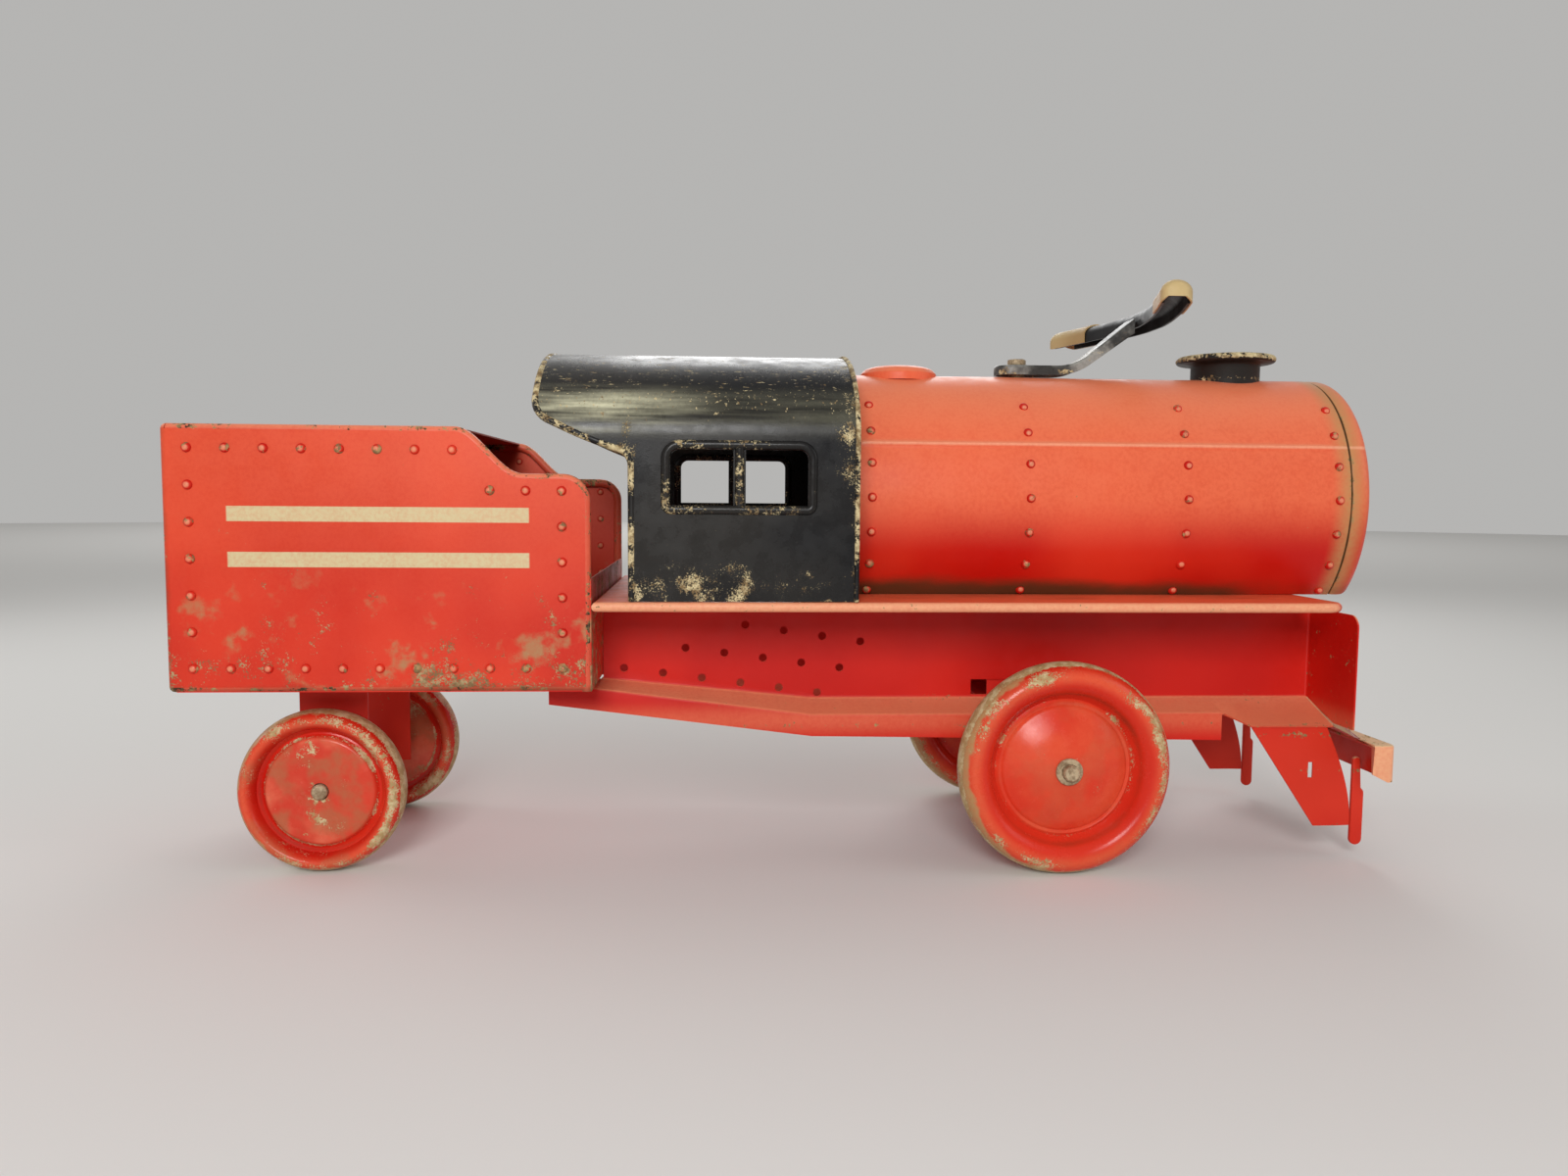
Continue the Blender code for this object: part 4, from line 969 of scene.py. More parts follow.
x0, x1 = pane_ends[0][0] - FRAME_BEAD, pane_ends[1][1] + FRAME_BEAD
z0, z1 = z_sill - FRAME_BEAD, z_head + FRAME_BEAD
low_r, high_r = FRAME_CORNER, PANE_CORNER + FRAME_BEAD
ring = (arc(x0 + low_r, z0 + low_r, low_r, 180, 270, 4) + arc(x1 - low_r, z0 + low_r, low_r, 270, 360, 4)
        + arc(x1 - high_r, z1 - high_r, high_r, 0, 90, 8) + arc(x0 + high_r, z1 - high_r, high_r, 90, 180, 8))
ring.append(ring[0])
x_mullion = (pane_ends[0][1] + pane_ends[1][0]) / 2
mullion = [(x_mullion, z) for z in (z_sill - MULLION_LAP, (z_sill + z_head) / 2, z_head + MULLION_LAP)]
for side, label in SIDES:
    tubes(f"window_bead_{label}", [[(x, side * cab_half, z) for x, z in path] for path in (ring, mullion)],
          FRAME_BEAD, bead_black, flat=(side * cab_half, FRAME_PRESS))

# %% [markdown]
# The running board has a rolled edge all round, and hands have worn it to pink and bare metal. Its
# flat top is darker along the boiler: dirt, and painted shade. A bevel would round a plate's edge, but
# a roll also turns under. So the roll is an arc of insets, and the board is skinned between outlines
# that are set in by them.

# %% Running board
PINK = (0.84, 0.40, 0.22)
DECK_CORNER = 12.0


def deck_wear(f):
    return f.most(f.out(d_high.y - 5, d_high.y, 0.9), f.near(f.x, d_high.x, 5, 0.8))


def deck_outline(inset):
    deck_half, front, rear = d_high.y - inset, d_high.x - inset, d_low.x + inset
    r = max(DECK_CORNER - inset, 1.0)
    return ([(rear, deck_half), (rear, -deck_half)] + arc(front - r, -deck_half + r, r, -90, 0, 10)
            + arc(front - r, deck_half - r, r, 0, 90, 10))


# The grime near the middle darkens the board along the boiler: dirt and painted shade.
deck_red = worn_paint("deck_red", RED, deck_wear, gain=0.08, limit=0.655,
                      films=((facing_up, RED_FADED), (deck_wear, PINK)),
                      grime_and_shade=lambda f: f.math("SUBTRACT", 0.32, f.out(80, 100, 0.6)))
roll_r = (d_high.z - d_low.z) / 2
z_roll = d_high.z - roll_r
roll = [(roll_r - u, z_roll + v) for u, v in arc(0, 0, roll_r, 90, -90, 14)]
roll += [(roll_r + u, z_roll - v) for u, v in arc(0, 0, roll_r, 60, 0, 4)]
roll.append((2 * roll_r, d_high.z - SHEET))
finish_piece("running_board", skin([[(x, y, z) for x, y in deck_outline(inset)] for inset, z in roll]),
             deck_red, stands_for=("deck",))

# %% [markdown]
# Under the board two pressed frames run from the tender to the nose: an upright web, a ledge that
# falls outwards, a lip turned down, a shelf for the pilot, and a flange at the front. They could be
# built up from plates. Each is one folded sheet, so it is drawn as the flat faces between its folds.
# This cell draws the right one's; the left one mirrors them.

# %% Side frame faces
WEB_HALF, LIP_HALF, PILOT_HALF = 43.0, 68.0, 77.0
FRAME_BEND, LEDGE_DROP, LEDGE_FALL, FALL_EASE = 111.0, 69.0, 6.0, 0.8
LIP_DEPTH, LIP_FRONT, LIP_BACK = 14.0, 18.0, 76.0
SHELF_FLARE, SHELF_DROP, SHELF_OVERHANG, SHELF_LAP = 15.0, 82.0, 1.0, 0.2
FLANGE_HALF, FLANGE_FOOT, FLANGE_CORNER, FLANGE_DROP = 100.0, 1.6, 8.0, 3.0
WEB_RELIEF, CLEAR, TENDER_CLEAR = 8.0, 0.3, 0.6

s_low, s_high = span("side_frame_right")
x_post = frame["joints"][0]["pos_m"][0] / MM
z_ledge, z_shelf = d_high.z - LEDGE_DROP, d_high.z - SHELF_DROP
x_bend, x_lip, x_flange = x_cab + FRAME_BEND, b_high.x - LIP_BACK, s_high.x


def ledge(x, fall=0.0):
    """Height of the ledge, which climbs to the tender behind the bend."""
    share = min(max((x_bend - x) / (x_bend - s_low.x), 0.0), 1.0)
    return z_ledge + (t_low.z - TENDER_CLEAR - z_ledge) * share - fall * (1.0 - FALL_EASE * share)


web_x = [x_front + CLEAR, x_cab, x_bend, x_post, x_lip, x_lip + SHELF_FLARE, x_flange]
inner = [(x, -WEB_HALF, ledge(x)) for x in (s_low.x, *web_x)]
outer = [(x, -LIP_HALF, ledge(x, LEDGE_FALL)) for x in (s_low.x, *web_x) if x <= x_lip]
hem = [(x, y, z - LIP_DEPTH - (LIP_FRONT - LIP_DEPTH) * max((x - x_bend) / (x_lip - x_bend), 0))
       for x, y, z in outer]
y_shelf = -PILOT_HALF - SHELF_OVERHANG
shelf = [outer[-1], (x_lip + SHELF_FLARE, y_shelf, z_shelf + SHELF_LAP), (x_flange, y_shelf, z_shelf)]
z_web, z_flange = d_high.z - SHEET - CLEAR, d_low.z - FLANGE_DROP
x_high, x_relief = d_high.x - WEB_RELIEF, x_front + WEB_RELIEF
web = inner[1:] + [(x, -WEB_HALF, z) for x, z in (
    (x_flange, z_flange), (x_high, z_flange), (x_high, z_web),
    (x_relief, z_web), (x_relief, z_flange), (x_front + CLEAR, z_flange))]
flange = [(-WEB_HALF, ledge(x_flange)), (-WEB_HALF, z_flange)]
flange += arc(-FLANGE_HALF + FLANGE_CORNER, z_flange - FLANGE_CORNER, FLANGE_CORNER, 90, 180, 6)
flange += [(-FLANGE_HALF, z_shelf + FLANGE_FOOT), (y_shelf, z_shelf + FLANGE_FOOT)]
right_faces = [tuple(web), tuple((x_flange, y, z) for y, z in flange[::-1])]
right_faces += strip(inner[:len(outer)], outer) + strip(outer, hem) + strip(inner[len(outer) - 1:], shelf)
print("side frame has", len(right_faces), "faces before it is bent")

# %% [markdown]
# Folded sheet has soft bends. A bevel after Solidify would round the inside and the outside of a fold
# alike. As on a press, the folds are rounded first and the sheet gets its thickness after. Rows of
# small holes and one long notch for the yoke are then punched through the web by a single cutter.

# %% Side frames
NOTCH_HALF, NOTCH_LOW, NOTCH_HIGH = 37.0, 2.0, 12.0
PUNCH_R, PUNCH_PITCH, PUNCH_REACH, FRAME_FOLD = 2.6, 25.0, 5.0, 1.6
PUNCH_ROWS = ((4, 69.5, 21.0, 0.145), (5, 31.0, 36.0, 0.13), (6, -8.5, 49.0, 0.13))


def frame_wear(f):
    return f.most(f.near(f.z, z_ledge, 5, 0.5), f.near(f.x, x_flange, 7, 0.6), f.near(f.z, z_shelf, 4, 0.8))


def frame_lip(f):
    return f.both(f.out(45, 52, 0.6), f.near(f.z, z_ledge - 10, 14))


def bend(width, segments=4, angle=12):
    """Round the folds of a sheet before it gets its thickness."""
    return ("BEVEL", {"width": width * MM, "segments": segments, "limit_method": "ANGLE",
                      "angle_limit": math.radians(angle)})


def web_holes(side):
    """Every hole of one web; a row is (count, start, drop, slope)."""
    holes = bmesh.new()
    reach = sorted((side * (WEB_HALF - PUNCH_REACH), side * (WEB_HALF + PUNCH_REACH)))
    for count, start, drop, slope in PUNCH_ROWS:
        for k in range(count):
            x, z = x_cab + start + PUNCH_PITCH * k, d_high.z - drop - slope * PUNCH_PITCH * k
            prism(arc(x, z, PUNCH_R, 0, 345, 23), *reach, holes)
    x0, x1, z0, z1 = x_post - NOTCH_HALF, x_post + NOTCH_HALF, z_ledge + NOTCH_LOW, z_ledge + NOTCH_HIGH
    return prism([(x0, z0), (x1, z0), (x1, z1), (x0, z1)], *reach, holes)


frame_red = worn_paint("frame_red", (RED_DEEP, (0.62, 0.014, 0.006)), frame_wear, gain=0.14, limit=0.67,
                       films=((facing_up, (0.78, 0.27, 0.14)), (frame_lip, (0.74, 0.17, 0.08))), gloss=0.42)
for side, label in SIDES:
    finish_piece(f"frame_{label}", sheet_mesh(right_faces if side < 0 else mirror_faces(right_faces)),
                 frame_red, stands_for=(f"side_frame_{label}",), changes=(bend(FRAME_FOLD), wall(SHEET)),
                 holes=[web_holes(side)])

# %% [markdown]
# The nose carries a buffer beam on a short sloping neck. Its top and ends are where the toy met the
# wall, so they have lost most paint. A bevelled box would look solid from below. It is one sheet
# instead: a cap, a hem turned down along the rounded edge, and the neck behind.

# %% Buffer beam
BEAM_LENGTH, BEAM_FALL, BEAM_DEPTH, BEAM_CORNER, BEAM_FOLD = 15.0, 6.0, 23.0, 5.0, 1.4

bb_low, bb_high = span("buffer_beam")
x_nose, beam_half, z_foot = bb_high.x, bb_high.y, span("pilot_right")[0].z
z_beam, x_neck = z_shelf - BEAM_FALL, x_nose - BEAM_LENGTH


def beam_wear(f):
    return f.most(f.near(f.z, z_beam, 5, 0.9), f.near(f.z, z_beam - BEAM_DEPTH, 4, 0.8),
                  f.out(100, 111, 0.4), f.near(f.z, z_foot, 4, 0.6))


def corner_lift(x):
    """How far the hem is rounded up where it starts, at the neck."""
    share = 1 - min(1, (x - x_neck) / BEAM_CORNER)
    return BEAM_CORNER * (1 - math.sqrt(1 - share ** 2))


nose_red = worn_paint("nose_red", RED, beam_wear, gain=0.14, limit=0.655, gloss=0.42,
                      films=((lambda f: f.out(96, 108), PINK), (facing_up, (0.70, 0.50, 0.27))))
x_round, y_round = x_nose - BEAM_CORNER, beam_half - BEAM_CORNER
edge = ([(x_neck, -beam_half)] + arc(x_round, -y_round, BEAM_CORNER, -90, 0, 8)
        + arc(x_round, y_round, BEAM_CORNER, 0, 90, 8) + [(x_neck, beam_half)])
top_row = [(x, y, z_beam) for x, y in edge]
hem_row = [(x, y, z_beam - BEAM_DEPTH + corner_lift(x)) for x, y in edge]
neck_rear = [(bb_low.x, PILOT_HALF, z_shelf), (bb_low.x, WEB_HALF, z_ledge),
             (bb_low.x, -WEB_HALF, z_ledge), (bb_low.x, -PILOT_HALF, z_shelf)]
neck_front = [top_row[-1], (x_neck, WEB_HALF, z_beam), (x_neck, -WEB_HALF, z_beam), top_row[0]]
cap = tuple(top_row + neck_front[1:3])
finish_piece("nose_beam", sheet_mesh([cap] + strip(top_row, hem_row) + strip(neck_rear, neck_front)),
             nose_red, stands_for=("buffer_beam",), changes=(bend(BEAM_FOLD), wall(SHEET)))

# %% [markdown]
# Two pilot plates, raked back, hang below the shelf, each with a small slot. A bar hangs in front of
# each plate and runs up behind the beam. A plate's curved front edge could be cut from a square sheet.
# It is a grid instead, whose front edge follows a quarter of a sine towards the toe, so that the sheet
# can bend as well.

# %% Pilot
PILOT_REAR, PILOT_TOE, PILOT_LENGTH, PILOT_BEND = 77.0, 33.0, 50.0, 1.0
PILOT_ROWS, PILOT_COLUMNS = 14, 12
SLOT_BACK, SLOT_LIFT, SLOT_WIDTH, SLOT_HEIGHT, SLOT_REACH = 36.5, 4.0, 3.0, 10.0, 6.0
PLATE_GAP, BAR_NECK, BAR_LAP, BAR_EDGE = 0.1, 2.4, 6.0, 0.8

x_toe = span("pilot_toe_right")[0].x
z_plate = z_shelf - PLATE_GAP


def soften(width, segments=2):
    """Break the sharp edges of a solid so that they catch the light."""
    return ("BEVEL", {"width": width * MM, "segments": segments, "limit_method": "ANGLE",
                      "angle_limit": math.radians(30)})


def plate_row(s):
    """A level row of the right plate; s goes from 0 at the shelf to 1 at the foot."""
    rear = x_nose - PILOT_REAR + (PILOT_REAR - PILOT_TOE) * s
    lead = x_nose - PILOT_REAR + PILOT_LENGTH
    lead += (x_toe - CLEAR - lead) * math.sin(s * math.pi / 2)
    shares = [j / PILOT_COLUMNS for j in range(PILOT_COLUMNS + 1)]
    return [(rear + (lead - rear) * t, -PILOT_HALF + PILOT_BEND * max(0, 2 * t - 1) ** 2 * s,
             z_plate + (z_foot - z_plate) * s) for t in shares]


def toe_bar(low, high):
    """Side view of a bar: a round foot, a round shoulder and a narrower top."""
    r, x = (high.x - low.x) / 2, (high.x + low.x) / 2
    return (arc(x, low.z + r, r, 180, 360, 12) + arc(x, high.z - r, r, 0, 60, 5)
            + arc(low.x + BAR_NECK, z_beam - BEAM_DEPTH + BAR_LAP, BAR_NECK, 0, 180, 8))


plate = lattice([plate_row(k / PILOT_ROWS) for k in range(PILOT_ROWS + 1)])
x_slot, z_slot = x_nose - SLOT_BACK, (z_plate + z_foot) / 2 + SLOT_LIFT
slot = [(x_slot + i * SLOT_WIDTH / 2, z_slot + j * SLOT_HEIGHT / 2)
        for i, j in ((-1, -1), (1, -1), (1, 1), (-1, 1))]
for side, label in SIDES:
    y = side * PILOT_HALF
    finish_piece(f"pilot_plate_{label}", sheet_mesh(plate if side < 0 else mirror_faces(plate)), nose_red,
                 stands_for=(f"pilot_{label}",), changes=(wall(SHEET),),
                 holes=[prism(slot, y - SLOT_REACH, y + SLOT_REACH)])
    low, high = span(f"pilot_toe_{label}")
    finish_piece(f"pilot_bar_{label}", prism(toe_bar(low, high), low.y, high.y), nose_red,
                 stands_for=(f"pilot_toe_{label}",), changes=(soften(BAR_EDGE, 3),))

# %% [markdown]
# The rims and the treads of the wheels have rolled over pavements for years, and show more tan metal
# than paint. A UV map round the rim could place that wear. Distance from the axle does it without one,
# and each wheel shifts its noise to have wear of its own.

# %% Wheel finish
WHEEL_DUST = (0.36, 0.15, 0.065)


def wheel_finish(name, x, z, radius, disc, chalk, scuff, rust, shift):
    """disc is how far the flat part reaches, as a share of the radius; scuff is how bare the rim is,
    and rust how far specks and dust have spread over the disc."""

    def ring(f, at, reach, strength=1.0):
        return f.near(f.from_axle(x, z), at * radius, reach * radius, strength)

    def inside(f):
        return f.ramp(f.from_axle(x, z), (disc - 0.05) * radius, disc * radius, 0.85, 0.0)

    def hub(f):
        return f.ramp(f.from_axle(x, z), 6, 12, 0.4, 0.0)

    def bare_rim(f):
        patches = f.ramp(f.noise(22, 2, 0.5, shift=shift), 0.35, 0.62, 0.45, 1.0)
        specks = f.ramp(f.noise(46, 3, 0.55, shift=shift + 5), 0.46, 0.64, 0.0, 1.2 * rust)
        return f.most(f.both(ring(f, 0.90, 0.14, scuff), patches), f.both(inside(f), specks),
                      ring(f, disc - 0.01, 0.05, 0.5 + 0.6 * rust), ring(f, 0.82, 0.14, 0.65 * rust),
                      f.ramp(f.from_axle(x, z), 0.955 * radius, 0.985 * radius, 0.0, 1.6))

    def tread(f):
        cloud = f.math("SUBTRACT", f.noise(60, 4, 0.6, shift=shift), 0.5)
        edge = f.add(f.from_axle(x + 0.035 * radius, z + 0.012 * radius), cloud, 0.16 * radius)
        return f.ramp(edge, 0.945 * radius, 0.98 * radius, 0.0, 0.9)

    def faded(f):
        return f.both(inside(f), f.ramp(f.noise(30, 3, 0.5, shift=shift + 9), 0.38, 0.62, 0.25, 1.0))

    def dust(f):
        cloud = f.ramp(f.noise(36, 3, 0.55, shift=shift + 2), 0.46, 0.60, 0.0, 0.72 * rust)
        return f.both(f.most(inside(f), ring(f, 0.86, 0.12, 0.6)), cloud)

    # The grime ring just outside the flat disc darkens the cove between disc and rim: painted shade in the
    # recess.
    return worn_paint(name, RED, hub, patch=bare_rim, gloss=0.22, bare=(TAN, CREAM),
                      films=((faded, chalk), (lambda f: ring(f, 0.88, 0.10, 0.6), RED_FADED),
                             (dust, WHEEL_DUST), (tread, TAN)),
                      grime_and_shade=lambda f: ring(f, disc + 0.05, 0.05, 0.4))


print("wheel dust has the colour", WHEEL_DUST)

# %% [markdown]
# Wheels, axles, washers, the dome and the stack are round. A Screw modifier could turn their half
# sections, but about an object's own axis, and these objects stay at the origin. So this helper writes
# the turned points out where the piece stands, merges those on the axis and points the faces outwards.

# %% Turned work
MERGE = 0.0005


def turn(outline, axis, centre, segments):
    """Turn an outline of (radius, height); it is closed unless both ends lie on the axis."""
    bm = bmesh.new()
    rows = []
    for k in range(segments):
        u, v = math.cos(math.tau * k / segments), math.sin(math.tau * k / segments)
        ring = [(r * u, h, r * v) if axis == "Y" else (r * u, r * v, h) for r, h in outline]
        rows.append([bm.verts.new(Vector(centre) + Vector(p)) for p in ring])
    joined = not (outline[0][0] == 0 and outline[-1][0] == 0)
    for a, b in zip(rows, rows[1:] + rows[:1]):
        for i in range(len(outline) - (not joined)):
            j = (i + 1) % len(outline)
            bm.faces.new((a[i], a[j], b[j], b[i]))
    bmesh.ops.remove_doubles(bm, verts=bm.verts, dist=MERGE)
    bmesh.ops.recalc_face_normals(bm, faces=bm.faces)
    return bm


print("points closer than", MERGE, "mm are merged")

# %% [markdown]
# The wheels are pressed discs on a sleeve. The front ones have a domed middle and two fine grooves;
# the rear ones a flat disc with a step. Hub, disc and rim could be joined from primitives, but the
# joints would show. One smooth half section, from bore to bore, is turned about the axle instead.

# %% Wheels
HUB_BORE, HUB_NECK, HUB_SLEEVE, HUB_LENGTH = 5.25, 8.5, 8.0, 1.5
RIM_INSET, RIM_STEP, BACK_DEPTH, WHEEL_SEGMENTS = 0.04, 1.0, 0.25, 112
FRONT_FACE = ((0, 0.86), (0.13, 0.85), (0.21, 0.79), (0.36, 0.63), (0.5, 0.36), (0.58, 0.18), (0.65, 0.1))
REAR_FACE = ((0, 0.5), (0.3, 0.5), (0.5, 0.52), (0.62, 0.5), (0.66, 0.42), (0.69, 0.26), (0.72, 0.2))
WHEELS = {"front": (FRONT_FACE, ((0.60, 0.8, 1.0), (0.645, 0.7, 1.0)),
                    {"disc": 0.66, "chalk": (0.74, 0.09, 0.036), "scuff": 1.2, "rust": 0.3}),
          "rear": (REAR_FACE, (), {"disc": 0.69, "chalk": (0.78, 0.19, 0.10), "scuff": 1.5, "rust": 1.0})}


def wheel_outline(radius, half, face, grooves):
    """Half section of a wheel, outside first; the face is in shares of the radius and the half width."""
    def grooved(r, h):
        return h - sum(depth * math.exp(-((r - at * radius) / width) ** 2) for at, width, depth in grooves)

    points = flow([(HUB_BORE if r == 0 else r * radius, h * half) for r, h in face], 5)
    front = [(r, grooved(r, h)) for r, h in points]
    start = points[-1][0] + RIM_INSET * radius
    mid, bulge = (start + radius) / 2, (radius - start) / 2
    rim = [(mid + bulge * math.cos(math.radians(a)), half * math.sin(math.radians(a)))
           for a in range(160, -161, -8)]
    back, end = -BACK_DEPTH * half, -half - HUB_LENGTH
    return front + rim + [(start - RIM_STEP, back), (HUB_NECK, back), (HUB_SLEEVE, end), (HUB_BORE, end)]


wheel_ends = [(end, side, label) for end in WHEELS for side, label in SIDES]
for index, (end, side, label) in enumerate(wheel_ends):
    name = f"{end}_wheel_{label}"
    face, grooves, look = WHEELS[end]
    (low, high), (low_in, high_in) = span(f"{name}_outer"), span(f"{name}_inner")
    y_low, y_high = min(low.y, low_in.y), max(high.y, high_in.y)
    x, y, z = (low.x + high.x) / 2, (y_low + y_high) / 2, (low.z + high.z) / 2
    radius = (high.z - low.z) / 2
    outline = wheel_outline(radius, (y_high - y_low) / 2, face, grooves)
    finish_piece(f"{name}_disc", turn([(r, side * h) for r, h in outline], "Y", (x, y, z), WHEEL_SEGMENTS),
                 wheel_finish(f"{name}_red", x, z, radius, **look, shift=2.0 + index), body=name,
                 stands_for=(f"{name}_outer", f"{name}_inner", f"{name}_hub"), sharp=40)
    print(name, "radius", round(radius, 1), "mm")

# %% [markdown]
# Axles, washers and hexagon nuts are plain hardware. The axle ends stand a little proud, and the nuts
# have their corners turned off, so the light catches them. Cylinders would do for most of it. Turned
# outlines give the chamfers in the same step, and a bevel does it for the nuts. A hexagon is an arc of
# six points.

# %% Axles and hardware
AXLE_PROUD, AXLE_CHAMFER = {"front": 5.6, "rear": 0.0}, 0.8
ROD_SEGMENTS, WASHER_SEGMENTS, NUT_EDGE = 32, 40, 0.9
SPACER_BORE, WASHER_BORE, WASHER_EDGE, WASHER_LIFT = 5.3, 5.0, 0.4, 0.5
ON_STEERING = {"body": "steering", "slot": "bare_steel"}


def middle(low, high):
    """Centre of a box in X and Z, on the middle plane."""
    return ((low.x + high.x) / 2, 0, (low.z + high.z) / 2)


def rod_outline(radius, low, high, chamfer):
    return [(0, low), (radius - chamfer, low), (radius, low + chamfer), (radius, high - chamfer),
            (radius - chamfer, high), (0, high)]


def washer_outline(radius, low, high):
    edge = radius - WASHER_EDGE
    return [(WASHER_BORE, low), (edge, low), (radius, low + WASHER_LIFT), (radius, high - WASHER_LIFT),
            (edge, high), (WASHER_BORE, high)]


for end, body in (("front", "steering"), ("rear", "chassis")):
    low, high = span(f"{end}_axle")
    at, proud = middle(low, high), AXLE_PROUD[end]
    rod = rod_outline((high.z - low.z) / 2, low.y - proud, high.y + proud, AXLE_CHAMFER)
    finish_piece(f"{end}_axle_rod", turn(rod, "Y", at, ROD_SEGMENTS), steel, body=body,
                 slot="bare_steel", stands_for=(f"{end}_axle",), sharp=30)
    for _, label in SIDES:
        low, high = span(f"{end}_spacer_{label}")
        r = (high.z - low.z) / 2
        tube = [(SPACER_BORE, low.y), (r, low.y), (r, high.y), (SPACER_BORE, high.y)]
        finish_piece(f"{end}_tube_{label}", turn(tube, "Y", at, ROD_SEGMENTS), steel, body=body,
                     slot="bare_steel", stands_for=(f"{end}_spacer_{label}",))
for _, label in SIDES:
    low, high = span(f"front_washer_{label}")
    at = middle(low, high)
    ring = washer_outline((high.z - low.z) / 2, low.y, high.y)
    finish_piece(f"axle_washer_{label}", turn(ring, "Y", at, WASHER_SEGMENTS), steel, **ON_STEERING,
                 stands_for=(f"front_washer_{label}",), sharp=30)
    low, high = span(f"front_nut_{label}")
    nut = arc(at[0], at[2], (high.x - low.x) / 2, 0, 300, 5)
    finish_piece(f"axle_nut_{label}", prism(nut, low.y, high.y), steel, **ON_STEERING,
                 stands_for=(f"front_nut_{label}",), changes=(soften(NUT_EDGE, 3),))

# %% [markdown]
# Straps bent from flat bar carry the axles: a bracket under the tender and a yoke under the boiler.
# Each could be three boxes, but bar bends round its corners. So a strap is a sheet with rounded folds
# that gets its thickness after. The cross member that the post turns in, the post and the tender's
# floor keep their CAD shape.

# %% Brackets
STRAP, STRAP_FOLD, STRAP_EDGE = 2.5, 5.0, 0.4

gear_red = worn_paint("gear_red", RED, gain=0.1, limit=0.63, gloss=0.5)
for node, body in (("rear_bracket", "chassis"), ("axle_yoke", "steering")):
    low, high = span(node)
    path = [(low.y, low.z), (low.y, high.z), (high.y, high.z), (high.y, low.z)]
    faces = strip(*([(x, y, z) for y, z in path] for x in (low.x, high.x)))
    finish_piece(f"{node}_bar", sheet_mesh(faces), gear_red, body=body, stands_for=(node,),
                 changes=(bend(STRAP_FOLD, 5), wall(STRAP), soften(STRAP_EDGE)))
for node, mat in (("cross_member", gear_red), ("tender_floor", gear_red), ("steering_post", steel)):
    dress(node, mat)

# %% [markdown]
# The dome is low and red, spun from sheet. A squashed sphere would be too round at the foot. A smooth
# line through a few points gives the bell, and its foot goes a little below the boiler's top, so that
# no gap shows on the curve.

# %% Dome
DOME_FOOT, DOME_SEGMENTS = 4.0, 80

low, high = span("dome")
r, h = (high.x - low.x) / 2, high.z - b_high.z
bell = flow([(r, -DOME_FOOT), (r - 0.2, 0.4), (r - 1.2, 0.30 * h), (r - 3.6, 0.62 * h), (0.66 * r, 0.86 * h),
             (0.4 * r, 0.96 * h), (0.2 * r, 0.99 * h), (0.0, h)], 5)
bell = [(0, -DOME_FOOT)] + bell[:-1] + [(0, h)]
finish_piece("steam_dome", turn(bell, "Z", ((low.x + high.x) / 2, 0, b_high.z), DOME_SEGMENTS), boiler_red,
             stands_for=("dome",), sharp=40)

# %% [markdown]
# The stack is black, with a wide flat disc on a short neck, rolled at the rim and dished on top. The
# roll has worn to tan metal, and so has the foot. It could be a disc on a pipe, with bevels. As one
# turned outline, the roll, the dish and the neck flow into each other.

# %% Stack
NECK, NECK_FLARE, STACK_FOOT = 22.5, 1.0, 8.0
BRIM, DISH_INSET, STACK_SEGMENTS = 2.4, 5.0, 96

low, high = span("stack")
x_stack, disc, stack_rise = (low.x + high.x) / 2, (high.x - low.x) / 2, high.z - b_high.z


def stack_wear(f):
    rim = f.both(f.ramp(f.z, b_high.z + 0.70 * stack_rise, b_high.z + 0.82 * stack_rise),
                 f.ramp(f.from_post(x_stack), 0.70 * disc, 0.95 * disc, 0.25, 1.0))
    return f.most(rim, f.near(f.z, b_high.z, 4, 0.6))


stack_black = worn_paint("stack_black", BLACK, stack_wear, gain=0.22, gloss=0.4, bare=WORN_TO_CREAM)
side_line = [(0, -STACK_FOOT), (NECK, -STACK_FOOT), (NECK, 0.57 * stack_rise),
             (NECK + NECK_FLARE, 0.64 * stack_rise), (disc - BRIM, 0.70 * stack_rise)]
side_line += [(disc - BRIM + BRIM * u, (0.85 + 0.15 * v) * stack_rise) for u, v in arc(0, 0, 1, -75, 90, 11)]
side_line += [(disc - DISH_INSET, 0.97 * stack_rise), (NECK - NECK_FLARE, 0.90 * stack_rise),
              (0, 0.88 * stack_rise)]
finish_piece("stack_cap", turn(side_line, "Z", (x_stack, 0, b_high.z), STACK_SEGMENTS), stack_black,
             slot="black_paint", stands_for=("stack",), sharp=50)

# %% [markdown]
# The rider steers with a T-shaped handle. Its stem is a pressed channel that bolts to the post, runs
# level and then climbs, with a skirt that deepens on the way up. The black on it has worn to grey. A
# channel profile swept along a curve would keep one depth. Faces between an upper and a lower line can
# deepen.

# %% Handle stem
HANDLE_SHEET, STEM_SKIRT, STEM_DEEPEN, STEM_FLAT, STEM_EASE = 1.5, 6.5, 3.5, 37.0, 12.0
BAR_CROWN, BAR_HALF, STEM_GAP, STEM_FOLD = 6.0, 8.5, 0.6, 2.0
ON_HANDLE = {"body": "steering", "slot": "black_paint"}

bolt_low, bolt_high = span("handle_bolt")
bar_low, bar_high = span("handle_bar")
stem_low, stem_high = span("handle_strap")
z_stem, z_bar, z_legs = bolt_low.z - CLEAR, bar_high.z - BAR_CROWN, bar_low.z
x_bar, bar_span, stem_half = bar_high.x - BAR_HALF, bar_high.y, stem_high.y
x_climb, stem_rise = x_post + STEM_FLAT, z_bar - z_stem
climb = math.atan2(stem_rise, x_bar - BAR_HALF - x_climb)
x_end = x_bar - BAR_HALF - STEM_GAP - HANDLE_SHEET * math.sin(climb)


